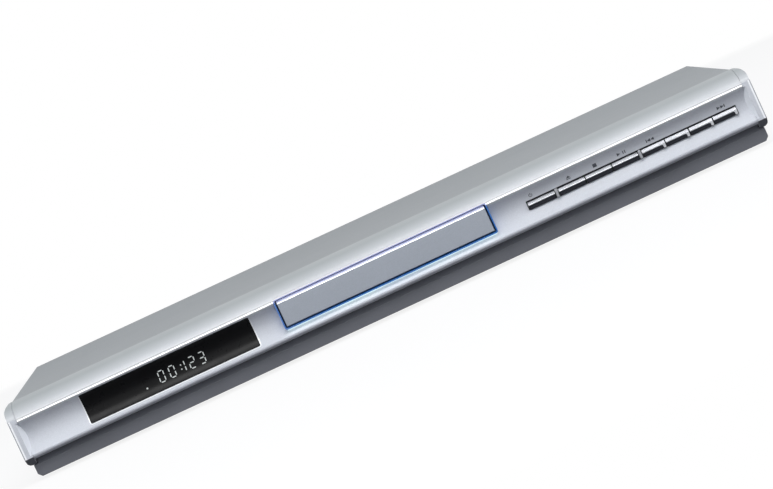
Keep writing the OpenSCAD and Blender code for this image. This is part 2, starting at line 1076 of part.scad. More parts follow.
module main_chips() {
    color("black")
        from_nose()
            for (i = [0:len(chip_sizes) - 1]) {
                at = board_place(main_x, main_y, chip_places_shares[i]);
                translate([at[0], at[1], board_z + board_t])
                    cube(chip_sizes[i]);
            }
}

module power_transformer() {
    at = board_place(power_x, power_y, transformer_share);
    color("goldenrod")
        from_nose()
            translate([at[0], at[1], board_z + board_t])
                difference() {
                    cube(transformer);
                    for (x = [-over, transformer[0] - transformer_core])
                        translate([x, -over, transformer[2] / 2 - transformer_core / 2])
                            cube([transformer_core + over, transformer_core + over, transformer_core]);
                }
}

module power_capacitors() {
    color("midnightblue")
        from_nose()
            for (i = [0:len(capacitor_r) - 1])
                post(
                    capacitor_r[i],
                    board_place(power_x, power_y, capacitor_places_shares[i]),
                    [board_z + board_t, board_z + board_t + capacitor_h[i]]
                );
}

module heat_sink() {
    at = board_place(power_x, power_y, sink_share);
    fins = floor(sink_size[0] / sink_step);
    color("gray")
        from_nose()
            translate([at[0], at[1], board_z + board_t]) {
                cube(sink_size);
                for (i = [0:fins])
                    translate([i * sink_step, sink_size[1], 0])
                        cube([sink_fin[0], sink_fin[1], sink_size[2]]);
            }
}

// Each ribbon runs back from a front board and drops to a connector on the board behind
module ribbon_path(front_y) {
    top = board_z + board_t + plug_size[2];
    polygon([
        [front_y, ribbon_z],
        [front_y, ribbon_z + ribbon_t],
        [ribbon_drop_y + ribbon_t, ribbon_z + ribbon_t],
        [ribbon_drop_y + ribbon_t, top],
        [ribbon_drop_y, top],
        [ribbon_drop_y, ribbon_z]
    ]);
}

module ribbon_cable(x, front_y) {
    extra = (plug_size[0] - ribbon_w) / 2;
    along_x([x, x + ribbon_w])
        ribbon_path(front_y + plug_size[1]);
    translate([x - extra, front_y, ribbon_z - plug_size[2] / 2])
        cube(plug_size);
    translate([x - extra, ribbon_drop_y - plug_size[1] / 2, board_z + board_t])
        cube(plug_size);
}

module ribbon_cables() {
    color("ivory")
        from_nose() {
            ribbon_cable(key_ribbon_x, key_board_y + board_t);
            ribbon_cable(display_ribbon_x, tube_y + tube_d + board_t);
        }
}

// Rear sockets

module phono_places() {
    for (i = [0:phono_count - 1])
        for (z = [phono_low_z, phono_top_z])
            translate([phono_x + i * phono_pitch, 0, z])
                children();
}

module phono_block() {
    color("black")
        from_nose()
            difference() {
                union() {
                    block(
                        [phono_x - phono_pitch / 2, panel_y - phono_block_d, board_z + board_t],
                        [phono_x + (phono_count - 0.5) * phono_pitch, panel_y, phono_top_z + phono_pitch / 2]
                    );
                    phono_places()
                        bar_y(phono_collar_r - seam, 0, 0, [panel_y, case_d + phono_collar_t]);
                }
                phono_places()
                    bar_y(phono_root_r, 0, 0, [panel_y, case_d + phono_collar_t + over]);
            }
}

module phono_shells() {
    root = case_d + phono_collar_t + phono_relief;
    color("gold")
        from_nose()
            phono_places()
                difference() {
                    union() {
                        bar_y(phono_root_r, 0, 0, [panel_y, root]);
                        bar_y(phono_r, 0, 0, [root, whole_d]);
                    }
                    bar_y(phono_hole_r, 0, 0, [case_d, whole_d + over]);
                }
}

module s_video_socket() {
    mouth = case_d + phono_collar_t;
    color("black")
        from_nose()
            difference() {
                union() {
                    block(
                        [svideo_x - svideo_r - seam, panel_y - phono_block_d, board_z + board_t],
                        [svideo_x + svideo_r + seam, panel_y, svideo_z + svideo_r + seam]
                    );
                    bar_y(svideo_r - seam, svideo_x, svideo_z, [panel_y, mouth]);
                }
                difference() {
                    bar_y(svideo_in_r, svideo_x, svideo_z, [mouth - svideo_l, mouth + over]);
                    bar_y(svideo_core_r, svideo_x, svideo_z, [mouth - svideo_l - over, mouth]);
                }
                for (x = [-svideo_pin_at[0], svideo_pin_at[0]])
                    for (z = [-svideo_pin_at[1], svideo_pin_at[1]])
                        bar_y(svideo_pin_r, svideo_x + x, svideo_z + z, [mouth - svideo_l, mouth + over]);
            }
}

// Box round (x, z), from front to back
module box_y(x, z, size, y) {
    block([x - size[0] / 2, y[0], z - size[1] / 2], [x + size[0] / 2, y[1], z + size[1] / 2]);
}

module optical_socket() {
    mouth = case_d + phono_collar_t;
    low = board_z + board_t;
    tall = optical_z + optical_size[1] / 2 + optical_wall - low;
    body = [optical_size[0] + 2 * optical_wall, tall];
    color("black")
        from_nose()
            difference() {
                union() {
                    box_y(optical_x, low + tall / 2, body, [panel_y - phono_block_d, panel_y]);
                    box_y(optical_x, optical_z, optical_size - [2 * seam, 2 * seam], [panel_y, mouth]);
                }
                box_y(optical_x, optical_z, optical_hole, [mouth - optical_l, mouth + over]);
            }
}

module mains_inlet() {
    front = case_d - inlet_l;
    mouth = case_d + inlet_lip;
    lug_z = [board_z + board_t, inlet_z - inlet_size[1] / 2 + seam];
    color("black")
        from_nose()
            difference() {
                union() {
                    box_y(inlet_x, inlet_z, inlet_size - [2 * seam, 2 * seam], [front, case_d]);
                    box_y(inlet_x, inlet_z, inlet_size + [2 * inlet_lip, 2 * inlet_lip], [case_d, mouth]);
                    block(
                        [inlet_x - inlet_hole[1] / 2, front, lug_z[0]],
                        [inlet_x + inlet_hole[1] / 2, front + inlet_lug_l, lug_z[1]]
                    );
                }
                along_y([mouth - inlet_depth, mouth + over])
                    rounded(
                        [inlet_x - inlet_hole[0] / 2, inlet_z - inlet_hole[1] / 2],
                        [inlet_x + inlet_hole[0] / 2, inlet_z + inlet_hole[1] / 2],
                        inlet_hole_r
                    );
                inlet_pin_places()
                    bar_y(inlet_pin_r, 0, 0, [front - over, case_d]);
            }
}

module inlet_pin_places() {
    for (x = [-inlet_pin_x, inlet_pin_x])
        translate([inlet_x + x, 0, inlet_z])
            children();
}

module inlet_pins() {
    root = case_d + inlet_lip - inlet_depth;
    color("silver")
        from_nose()
            inlet_pin_places()
                bar_y(inlet_pin_r, 0, 0, [case_d - inlet_l - inlet_lug_l, root + inlet_pin_l]);
}

// Gears

// Corners of a tooth: how far out from the pitch line, and how far to each side
tooth_corners = [
    [-tooth_root_share, -root_half_share],
    [tooth_tip_share, -tip_half_share],
    [tooth_tip_share, tip_half_share],
    [-tooth_root_share, root_half_share]
];

function tooth_points(teeth, m, r) = [
    for (i = [0:teeth - 1])
        for (corner = tooth_corners)
            let (
                at = r + corner[0] * m,
                half = (PI * m / 2 - lash) / 2,
                turn = i * 360 / teeth + corner[1] * half / at * 180 / PI
            )
            [at * cos(turn), at * sin(turn)]
];

module spur(teeth, m, z, turn) {
    translate([0, 0, z[0]])
        rotate(turn)
            linear_extrude(z[1] - z[0])
                polygon(tooth_points(teeth, m, teeth * m / 2));
}

module drive_gear() {
    color("ivory")
        from_nose()
            translate([drive_at[0], drive_at[1], 0])
                difference() {
                    union() {
                        spur(pinion_teeth, rack_m, pinion_z, 0);
                        spur(drive_teeth, train_m, train_z, 0);
                        post(gear_hub_r, [0, 0], [train_z[0], pinion_z[1]]);
                    }
                    post(gear_post_r + fit, [0, 0], [train_z[0] - over, pinion_z[1] + over]);
                }
}

module pulley_gear() {
    color("white")
        from_nose()
            translate([pulley_at[0], pulley_at[1], 0])
                difference() {
                    union() {
                        spur(pulley_teeth, train_m, train_z, 180 / pulley_teeth);
                        post(gear_hub_r, [0, 0], [train_z[0], pulley_z[1]]);
                        grooved_wheel(pulley_r, pulley_z);
                    }
                    post(gear_post_r + fit, [0, 0], [train_z[0] - over, pulley_z[1] + over]);
                }
}

// Wheel with a square belt groove half way up its rim
module grooved_wheel(r, z) {
    mid = (z[0] + z[1]) / 2;
    difference() {
        post(r, [0, 0], z);
        difference() {
            post(r + over, [0, 0], [mid - groove_r - fit, mid + groove_r + fit]);
            post(r - groove_r, [0, 0], z);
        }
    }
}

module motor_pulley() {
    color("white")
        from_nose()
            translate([motor_at[0], motor_at[1], 0])
                difference() {
                    grooved_wheel(motor_pulley_r, pulley_z);
                    post(motor_shaft_r + fit, [0, 0], [pulley_z[0] - over, pulley_z[1] + over]);
                }
}

module tray_motor() {
    color("lightgray")
        from_nose() {
            post(motor_r, motor_at, [motor_bottom, motor_top]);
            post(motor_shaft_r, motor_at, [motor_top, pulley_z[1] + gap]);
        }
}

// Outline of a loop round both pulleys, at a distance out from their grooves
function belt_loop(out) =
    let (
        r1 = motor_pulley_r - groove_r + out,
        r2 = pulley_r - groove_r + out,
        span = pulley_at[0] - motor_at[0],
        tilt = acos((r1 - r2) / span)
    )
    concat(
        [for (i = [0:16]) let (a = tilt + (360 - 2 * tilt) * i / 16) [r1 * cos(a), r1 * sin(a)]],
        [for (i = [0:40]) let (a = -tilt + 2 * tilt * i / 40) [span + r2 * cos(a), r2 * sin(a)]]
    );

module drive_belt() {
    mid = (pulley_z[0] + pulley_z[1]) / 2;
    color("black")
        from_nose()
            translate([motor_at[0], motor_at[1], mid - belt_w / 2])
                linear_extrude(belt_w)
                    difference() {
                        polygon(belt_loop(belt_t));
                        polygon(belt_loop(2 * fit));
                    }
}

// Tray

module tray_rack() {
    pitch = PI * rack_m;
    count = floor((tray_end - rack_l0) / pitch) - 1;
    first = drive_at[1] - floor((drive_at[1] - rack_l0) / pitch) * pitch + pitch / 2;
    half = (pitch / 2 - lash) / 2;
    translate([rack_x, 0, tray_bottom])
        linear_extrude(tray_floor - tray_bottom)
            union() {
                translate([tooth_root_share * rack_m, rack_l0])
                    square([rack_w, tray_end - rack_l0]);
                for (i = [0:count - 1])
                    translate([0, first + i * pitch])
                        polygon([for (corner = tooth_corners) [-corner[0] * rack_m, corner[1] * half]]);
            }
}

module disc_tray() {
    color("darkgray")
        from_nose() {
            difference() {
                block([-tray_half, tray_front_back, tray_floor], [tray_half, tray_end, tray_deck]);
                post(disc_r + disc_gap, [0, disc_y], [disc_seat_z, tray_deck + over]);
                post(small_disc_r, [0, disc_y], [small_seat_z, tray_deck + over]);
                post(tray_slot_half, [0, disc_y], [tray_floor - over, tray_deck + over]);
                block(
                    [-tray_slot_half, disc_y, tray_floor - over],
                    [tray_slot_half, tray_end + over, tray_deck + over]
                );
                for (side = [-1, 1])
                    post(
                        thumb_r,
                        [side * disc_r * sin(thumb_turn), disc_y - disc_r * cos(thumb_turn)],
                        [small_seat_z, tray_deck + over]
                    );
            }
            block([-tray_half, lid_back, tray_bottom], [tray_half, tray_front_back, tray_front_top]);
            for (side = [-1, 1])
                translate([side * (tray_half - tray_rail_w / 2), 0, 0])
                    block(
                        [-tray_rail_w / 2, tray_front_back, tray_bottom],
                        [tray_rail_w / 2, tray_end, tray_floor]
                    );
            tray_rack();
        }
}

module tray_lid() {
    color("slategray")
        from_nose()
            along_x([-lid_half, lid_half])
                polygon([
                    [lid_back, lid_top],
                    [lid_front + lid_bevel[0], lid_top],
                    [lid_front, lid_top - lid_bevel[1]],
                    [lid_front, lid_bottom],
                    [lid_back, lid_bottom]
                ]);
}

// Loader

module loader_frame() {
    color("dimgray")
        from_nose()
            difference() {
                union() {
                    for (side = [-1, 1])
                        translate([side * (loader_in + loader_wall / 2), 0, 0])
                            block(
                                [-loader_wall / 2, loader_front, floor_top],
                                [loader_wall / 2, loader_end, loader_top]
                            );
                    for (side = [-1, 1])
                        translate([side * (loader_in - rail_w / 2), 0, 0])
                            block(
                                [-rail_w / 2, loader_front, rail_top - rail_t],
                                [rail_w / 2, loader_end, rail_top]
                            );
                    for (side = [-1, 1])
                        for (y = hold_ys)
                            translate([side * (loader_in - hold_w / 2), y, 0])
                                block([-hold_w / 2, 0, hold_z[0]], [hold_w / 2, hold_l, hold_z[1]]);
                    block([-loader_in, loader_front, deck_z[0]], [loader_in, deck_back, deck_z[1]]);
                    block(
                        [-loader_in, loader_front, floor_top],
                        [loader_in, loader_front + deck_leg_w / 2, deck_z[0]]
                    );
                    block(
                        [-loader_in, rear_beam_y[0], floor_top],
                        [loader_in, rear_beam_y[1], rear_beam_top]
                    );
                    hinge_ears();
                    loader_ears();
                    post(gear_post_r, drive_at, [deck_z[1], pinion_z[1] - gap]);
                    post(gear_post_r, pulley_at, [deck_z[1], pulley_z[1] - gap]);
                    for (at = [drive_at, pulley_at])
                        post(gear_hub_r, at, [deck_z[1], train_z[0] - gap]);
                }
                post(motor_r + gap, motor_at, [floor_top - over, deck_z[1] + over]);
                for (side = [-1, 1])
                    bar_x(
                        hinge_pin_r + fit,
                        hinge_y,
                        hinge_z,
                        [
                            side * (lift_half + gap + ear_w / 2) - ear_w / 2 - over,
                            side * (lift_half + gap + ear_w / 2) + ear_w / 2 + over
                        ]
                    );
            }
}

module hinge_ears() {
    for (side = [-1, 1])
        translate([side * (lift_half + gap + ear_w / 2), 0, 0])
            block(
                [-ear_w / 2, hinge_y - ear_w, floor_top],
                [ear_w / 2, rear_beam_y[0], rear_beam_top]
            );
}

module loader_ears() {
    ear_top = floor_top + loader_ear[2];
    for (side = [-1, 1])
        for (y = loader_ear_ys)
            translate([side * (loader_out + loader_ear[0] / 2), y, 0])
                difference() {
                    block(
                        [-loader_ear[0] / 2, 0, floor_top],
                        [loader_ear[0] / 2, loader_ear[1], ear_top]
                    );
                    post(ear_hole_r, [0, loader_ear[1] / 2], [floor_top - over, ear_top + over]);
                }
}

module cam_slider() {
    mid_z = hinge_z;
    low = [cam_pin_x - cam_travel, mid_z - cam_drop];
    high = [cam_pin_x, mid_z];
    slope = atan2(high[1] - low[1], high[0] - low[0]);
    color("beige")
        from_nose()
            along_y(cam_y)
                difference() {
                    translate([cam_x[0], cam_z[0]])
                        square([cam_x[1] - cam_x[0], cam_z[1] - cam_z[0]]);
                    for (at = [low - [cam_dwell, 0], low, high, high + [cam_dwell, 0]])
                        translate(at)
                            circle(cam_slot_r);
                    translate(low)
                        rotate(slope)
                            translate([0, -cam_slot_r])
                                square([norm(high - low), 2 * cam_slot_r]);
                    for (at = [low - [cam_dwell, 0], high])
                        translate(at - [0, cam_slot_r])
                            square([cam_dwell, 2 * cam_slot_r]);
                }
}

// Lift frame and traverse

module corner_pairs() {
    for (x = [-bush_at[0], bush_at[0]])
        for (y = [bush_at[1], bush_at[2]])
            translate([x, y, 0])
                children();
}

module lift_frame() {
    color("darkslategray")
        from_nose() {
            difference() {
                union() {
                    difference() {
                        block([-lift_half, lift_front, lift_z[0]], [lift_half, lift_end, lift_z[1]]);
                        block(
                            [-lift_half + lift_bar, lift_front + lift_bar, lift_z[0] - over],
                            [lift_half - lift_bar, lift_end - lift_bar / 2, lift_z[1] + over]
                        );
                    }
                    corner_pairs()
                        post(pad_r, [0, 0], [lift_z[0], lift_z[0] + pad_t]);
                    pad_arms();
                }
                corner_pairs()
                    post(bush_screw_r, [0, 0], [lift_z[0] - over, lift_z[0] + pad_t + over]);
            }
            for (side = [-1, 1])
                translate([side * (lift_half - lift_arm_w / 2), 0, 0])
                    block(
                        [-lift_arm_w / 2, lift_end, lift_z[0]],
                        [lift_arm_w / 2, hinge_y + hinge_pin_r, lift_z[1]]
                    );
            bar_x(hinge_pin_r, hinge_y, hinge_z, [lift_half, lift_half + hinge_pin_l]);
            bar_x(hinge_pin_r, hinge_y, hinge_z, [-lift_half - hinge_pin_l, -lift_half]);
            bar_y(cam_pin_r, cam_pin_x, hinge_z, [lift_front - cam_pin_l, lift_front]);
        }
}

// Short arms from the side bars to the pads under the bushes
module pad_arms() {
    for (side = [-1, 1])
        for (y = [bush_at[1], bush_at[2]])
            translate([side * (bush_at[0] + lift_half - lift_bar) / 2, y, 0])
                block(
                    [-(lift_half - lift_bar - bush_at[0]) / 2, -pad_r, lift_z[0]],
                    [(lift_half - lift_bar - bush_at[0]) / 2, pad_r, lift_z[0] + pad_t]
                );
}

module traverse_plate() {
    top = plate_z + plate_t;
    color("lightslategray")
        from_nose() {
            difference() {
                block([-plate_half, plate_y[0], plate_z], [plate_half, plate_y[1], top]);
                block(
                    [window_x[0], window_y[0], plate_z - over],
                    [window_x[1], window_y[1], top + over]
                );
                corner_pairs()
                    post(bush_waist_r + fit, [0, 0], [plate_z - over, top + over]);
            }
            for (side = [-1, 1])
                for (y = [rod_y[0], rod_y[1] - rod_block[1]])
                    translate([side * rod_x, y, 0])
                        difference() {
                            block(
                                [-rod_block[0] / 2, 0, top],
                                [rod_block[0] / 2, rod_block[1], rod_z + rod_block[2] / 2]
                            );
                            bar_y(rod_r + fit, 0, rod_z, [-over, rod_block[1] + over]);
                        }
            translate([screw_x, screw_y[0], 0])
                difference() {
                    block(
                        [-screw_block[0] / 2, 0, top],
                        [screw_block[0] / 2, screw_block[1], screw_z + screw_block[0] / 2]
                    );
                    bar_y(screw_r + fit, 0, screw_z, [-over, screw_block[1] + over]);
                }
        }
}

module damper_bushes() {
    low = lift_z[0] + pad_t;
    top = plate_z + plate_t + bush_flange;
    color("black")
        from_nose()
            corner_pairs()
                difference() {
                    union() {
                        post(bush_r, [0, 0], [low, plate_z]);
                        post(bush_waist_r, [0, 0], [plate_z, plate_z + plate_t]);
                        post(bush_r, [0, 0], [plate_z + plate_t, top]);
                    }
                    post(bush_screw_r, [0, 0], [low - over, top + over]);
                }
}

module damper_screws() {
    top = plate_z + plate_t + bush_flange;
    color("silver")
        from_nose()
            corner_pairs() {
                post(bush_screw_r, [0, 0], [lift_z[0], top]);
                post(bush_head[0], [0, 0], [top, top + bush_head[1]]);
            }
}

module spindle_motor() {
    base = plate_z + plate_t;
    color("silver")
        from_nose()
            translate([0, disc_y, 0])
                difference() {
                    union() {
                        post(spindle_plate_r, [0, 0], [base, base + spindle_plate_t]);
                        post(stator_r, [0, 0], [base, base + spindle_plate_t + stator_h]);
                        post(sleeve_r, [0, 0], [base, rotor_z[1] - rotor_wall - gap]);
                    }
                    post(spindle_shaft_r + fit, [0, 0], [base + spindle_plate_t, rotor_z[1]]);
                }
}

module turntable() {
    base = plate_z + plate_t + spindle_plate_t;
    color("darkslategray")
        from_nose()
            translate([0, disc_y, 0]) {
                difference() {
                    post(rotor_r, [0, 0], rotor_z);
                    post(rotor_r - rotor_wall, [0, 0], [rotor_z[0] - over, rotor_z[1] - rotor_wall]);
                }
                post(spindle_shaft_r, [0, 0], [base + gap, rotor_z[1]]);
                post(neck_r, [0, 0], [rotor_z[1], disc_face - platter_t]);
                post(turntable_r, [0, 0], [disc_face - platter_t, disc_face]);
                translate([0, 0, disc_face])
                    cylinder(r1 = cone_r[0], r2 = cone_r[1], h = cone_h);
            }
}

module guide_rods() {
    color("silver")
        from_nose()
            for (side = [-1, 1])
                bar_y(rod_r, side * rod_x, rod_z, rod_y);
}

module feed_motor() {
    color("silver")
        from_nose()
            difference() {
                bar_y(feed_motor_r, screw_x, screw_z, [screw_y[1], screw_y[1] + feed_motor_l]);
                bar_y(screw_r + fit, screw_x, screw_z, [screw_y[1] - over, screw_y[1] + feed_bore_l]);
            }
}

module feed_screw() {
    color("silver")
        from_nose()
            bar_y(screw_r, screw_x, screw_z, [screw_y[0], screw_y[1] + feed_bore_l - gap]);
}

module pickup_sled() {
    color("dimgray")
        from_nose()
            difference() {
                union() {
                    block([-sled_half, sled_y, sled_z[0]], [sled_half, sled_y + sled_l, sled_z[1]]);
                    block(
                        [screw_x - screw_r - gap, sled_y + sled_l / 3, sled_z[0]],
                        [-sled_half, sled_y + sled_l * 2 / 3, screw_z - screw_r - gap]
                    );
                }
                for (side = [-1, 1])
                    bar_y(rod_r + fit, side * rod_x, rod_z, [sled_y - over, sled_y + sled_l + over]);
                block(
                    [-sled_window[0] / 2, lens_y - sled_window[1] / 2, sled_z[0] + front_wall],
                    [sled_window[0] / 2, lens_y + sled_window[1] / 2, sled_z[1] + over]
                );
            }
}

module lens_carrier() {
    color("black")
        from_nose()
            translate([0, lens_y, 0]) {
                difference() {
                    block(
                        [-lens_base[0] / 2, -lens_base[1] / 2, lens_z[0]],
                        [lens_base[0] / 2, lens_base[1] / 2, lens_z[1]]
                    );
                    post(lens_r, [0, 0], [lens_z[0] - over, lens_z[1] + over]);
                }
                post(lens_r, [0, 0], [lens_z[0], lens_top]);
            }
}

// Clamp

module clamp_bridge() {
    color("gray")
        from_nose()
            difference() {
                union() {
                    block([-loader_out, bridge_y[0], bridge_z[0]], [loader_out, bridge_y[1], bridge_z[1]]);
                    for (side = [-1, 1])
                        translate([side * (loader_out - bridge_leg_w / 2), 0, 0])
                            block(
                                [-bridge_leg_w / 2, bridge_y[0], loader_top],
                                [bridge_leg_w / 2, bridge_y[1], bridge_z[0]]
                            );
                }
                post(clamp_neck_r + gap, [0, disc_y], [bridge_z[0] - over, bridge_z[1] + over]);
            }
}

module clamper() {
    disc_top = clamp_bottom + clamp_disc_t;
    flange_z = bridge_z[1] + gap;
    color("white")
        from_nose()
            translate([0, disc_y, 0])
                difference() {
                    union() {
                        post(clamp_r, [0, 0], [clamp_bottom, disc_top]);
                        post(clamp_neck_r, [0, 0], [disc_top, flange_z]);
                        post(clamp_flange_r, [0, 0], [flange_z, flange_z + clamp_flange_t]);
                    }
                    post(clamp_recess[0], [0, 0], [clamp_bottom - over, clamp_bottom + clamp_recess[1]]);
                }
}

bottom_chassis();
top_cover();
rear_panel();
feet();
case_screws();
front_fascia();
left_end_cap();
right_end_cap();
lower_skirt();
display_window();
display_tube();
display_board();
tray_light_ring();
ring_light_board();
standby_button();
eject_button();
stop_button();
play_button();
previous_button();
slow_button();
fast_button();
next_button();
button_dividers();
key_board();
key_switches();
main_board();
main_chips();
power_board();
power_transformer();
power_capacitors();
heat_sink();
ribbon_cables();
mains_inlet();
inlet_pins();
phono_block();
phono_shells();
s_video_socket();
optical_socket();
loader_frame();
disc_tray();
tray_lid();
tray_motor();
motor_pulley();
drive_belt();
pulley_gear();
drive_gear();
cam_slider();
lift_frame();
traverse_plate();
damper_bushes();
damper_screws();
spindle_motor();
turntable();
guide_rods();
feed_motor();
feed_screw();
pickup_sled();
lens_carrier();
clamp_bridge();
clamper();
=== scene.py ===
"""Dresses the packed disc player: its modelled front, cover and trim, the finish of every piece, and the studio."""

import json
import math

import bmesh
import bpy
from mathutils import Matrix, Vector


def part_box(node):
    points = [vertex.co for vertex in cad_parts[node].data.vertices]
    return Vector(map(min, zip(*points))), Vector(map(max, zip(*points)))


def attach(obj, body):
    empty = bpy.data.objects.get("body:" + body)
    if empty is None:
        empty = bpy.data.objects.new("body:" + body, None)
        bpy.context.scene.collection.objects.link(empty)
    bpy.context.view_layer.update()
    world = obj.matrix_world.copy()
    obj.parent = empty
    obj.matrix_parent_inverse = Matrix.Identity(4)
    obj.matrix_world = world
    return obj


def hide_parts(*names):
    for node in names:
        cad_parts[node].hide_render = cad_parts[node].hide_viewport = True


bl_info = {
    "name": "Slim Disc Player",
    "version": (1, 0, 0),
    "blender": (4, 5, 0),
    "location": "View3D > Sidebar > Disc Player",
    "description": "Models the looks of a slim full-width disc player round its packed frame",
    "category": "Object",
}

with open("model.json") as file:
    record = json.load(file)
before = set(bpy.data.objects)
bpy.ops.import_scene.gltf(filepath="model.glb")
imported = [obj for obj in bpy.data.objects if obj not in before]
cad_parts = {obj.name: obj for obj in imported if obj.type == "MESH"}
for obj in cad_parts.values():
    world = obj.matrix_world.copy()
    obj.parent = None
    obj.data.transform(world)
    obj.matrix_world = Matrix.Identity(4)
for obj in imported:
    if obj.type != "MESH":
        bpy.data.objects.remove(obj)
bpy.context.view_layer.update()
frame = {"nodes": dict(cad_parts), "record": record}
SLOTS = {entry["node"]: entry["material_slot"] for entry in frame["record"]["subparts"]}

# All sizes and places from here on are in millimetres, unless a line says otherwise.
# Places are (x, back, z): along the front, behind its nose, and above the surface that the player stands on.
MM = 0.001
NOSE_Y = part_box("front_fascia")[0].y
FRONT_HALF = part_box("front_fascia")[1].x / MM
BODY_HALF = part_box("right_end_cap")[1].x / MM
TOP_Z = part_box("top_cover")[1].z / MM

# The front's outline
LIP_DEPTH = 22.0
LIP_EDGE_Z = 36.1
CREASE_Z = 35.5
SCOOP_TOP, SCOOP_BOTTOM, SCOOP_DEPTH = 33.7, 14.9, 4.6
BEAD_R = 0.9
BEAD_Z = SCOOP_TOP + 0.89 * BEAD_R
SCOOP_EDGE = 0.43 * BEAD_R
SCOOP_H = SCOOP_TOP - SCOOP_BOTTOM
SCOOP_R = (SCOOP_H ** 2 / 4 + SCOOP_DEPTH ** 2) / (2 * SCOOP_DEPTH)
SCOOP_Y = SCOOP_EDGE + SCOOP_DEPTH - SCOOP_R
SCOOP_Z = (SCOOP_TOP + SCOOP_BOTTOM) / 2
SCOOP_TURN = math.degrees(math.asin(SCOOP_H / 2 / SCOOP_R))
LOWER_LIP_R = 1.5
LOWER_LIP_Z = SCOOP_BOTTOM - LOWER_LIP_R / 5
UNDER_Y, UNDER_Z = 3.6, 12.3
FRONT_BACK, FRONT_WALL = 8.2, 2.0
INNER_TURN = 40

# The openings in the front
OPENING_DEPTH = 7.2
WINDOW_INSET, WINDOW_LOW, WINDOW_HIGH, WINDOW_CORNER = 1.6, 16.0, 33.3, 1.4
RING_INSET, RING_LOW, RING_HIGH, RING_CORNER = 1.9, 18.2, 35.7, 1.6
SLOT_GAP, SLOT_LOW, SLOT_HIGH, SLOT_CORNER = 0.45, 21.5, 26.7, 0.3
# The rim round the window, coloured as a painted highlight: its width and how far it stands proud
RIM_WIDE, RIM_PROUD = 0.55, 0.04
PANE_STEP = 0.5
MARGIN = 0.6

# The end caps
CAP_SIDE = 0.2
# Height below which the caps' faces take the skirt's grey as painted shade on their foot
CAP_PAINTED_SHADE_Z = 13.9
FACET_DEPTH = 5
# Distances in from the side where the caps' painted highlight starts and is full, and where their painted shade on
# the side starts and is full
CAP_HIGHLIGHT_START, CAP_HIGHLIGHT_FULL, CAP_SHADE_START, CAP_SHADE_FULL = 1.6, 1.2, 0.5, 0.4
CAP_SOFT_SHARE = 0.6
FOLD_SHARE = 0.5

# The painted pool of light on the front: a thin glowing band under the light ring
LIGHT_POOL_LOW, LIGHT_POOL_HIGH, LIGHT_POOL_PROUD, LIGHT_POOL_INSET = 17.7, 18.15, 0.06, 3
RING_GLOW_Z, RING_GLOW_DEPTH = 18.6, 4.5
LIT_BASE = 0.12

# The lit digits: the bars of each, where they stand, and the dots as (x, z, half size)
SEGMENTS = {"0": "abcdef", "1": "bc", "2": "abged", "3": "abgcd"}
DIGIT_LOW, DIGIT_SLANT, DIGIT_PROUD = 20.75, 0.05, 0.03
LIT_DIGITS = (("0", -133.0), ("0", -126.8), ("1", -120.9), ("2", -115.2), ("3", -109.4))
LIT_DOTS = ((-142.5, 21.1, 0.42), (-121.5, 22.7, 0.3), (-121.2, 25.0, 0.3))

# The buttons: the two side views of a key as (back, z), its flange and stem, and the cut under a wrapped key's face
PLAIN_BUTTONS = ("standby", "eject", "stop", "play")
WRAPPED_BUTTONS = ("previous", "slow", "fast", "next")
PLAIN_KEY = ((7.3, 25.8), (3.7, 25.8), (2.6, 24.4), (2.6, 24.0), (3.7, 21.9), (7.3, 21.9))
WRAPPED_KEY = ((7.3, 25.8), (3.7, 25.8), (2.65, 24.4), (2.5, 21.9), (7.3, 21.9))
KEY_GAP, KEY_FACE_DEPTH = 0.12, 4.2
# Heights that bound a key's lower facet, which gets a painted dark reflection, and its top, which gets painted shade
KEY_PAINTED_REFLECTION_Z, KEY_PAINTED_SHADE_Z = 24.05, 25
FLANGE_FRONT, FLANGE_REAR, FLANGE_LOW, FLANGE_HIGH, FLANGE_ROUND = 7.3, 8.5, 21.0, 27.0, 0.3
STEM_R, STEM_REAR, STEM_Z = 1.5, 10, 24
CUT_BACK, CUT_LOW, CUT_TOP, CUT_END, CUT_ROUND, CUT_TURN = 2.62, 18, 23.9, 1.4, 0.9, 28

# The signs above the buttons
SIGN_Z, SIGN_HALF, SIGN_PROUD, SIGN_THICK = 28.9, 0.9, 0.03, 0.08
POWER_INSIDE, POWER_OUTSIDE, POWER_START, POWER_STEP, POWER_STEPS = 0.75, 1.05, 118, 0.5, 10

# Edge rounds of the mechanism, the boards and the rear parts
ROUNDS = {
    "bottom_chassis": 0.2, "rear_panel": 0.15, "display_board": 0.1, "ring_light_board": 0.1,
    "key_board": 0.1, "key_switches": 0.12, "main_board": 0.1, "main_chips": 0.2, "power_board": 0.1,
    "power_transformer": 0.4, "power_capacitors": 0.5, "heat_sink": 0.2, "mains_inlet": 0.3, "inlet_pins": 0.2,
    "phono_block": 0.25, "phono_shells": 0.2, "s_video_socket": 0.25, "optical_socket": 0.3,
    "display_tube": 0.3, "loader_frame": 0.25, "disc_tray": 0.3, "tray_motor": 0.4, "motor_pulley": 0.15,
    "drive_belt": 0.15, "pulley_gear": 0.1, "drive_gear": 0.1, "cam_slider": 0.2, "lift_frame": 0.25,
    "traverse_plate": 0.15, "damper_bushes": 0.3, "damper_screws": 0.15, "spindle_motor": 0.35,
    "turntable": 0.25, "guide_rods": 0.2, "feed_motor": 0.4, "feed_screw": 0.0, "pickup_sled": 0.3,
    "lens_carrier": 0.2, "clamp_bridge": 0.2, "clamper": 0.3, "ribbon_cables": 0.12,
}

# The screw heads: the axis that each group's screws run along, and the places of the heads' faces
SCREW_HEADS = (
    (0, [(x, back, 11.5) for x, back in ((-213.9, 60), (-213.9, 205), (213.9, 60), (213.9, 205))]),
    (1, [(x, 238.3, 40.4) for x in (-180, 0, 180)]),
    (2, [(x, back, 11.1) for x in (83, 201, -201, -87) for back in (117, 221)]),
    (2, [(x, back, 7.8) for x in (-69.25, 69.25) for back in (46, 174)]),
)
CROSS_LONG, CROSS_WIDE, CROSS_DEEP = 3.2, 0.75, 0.7

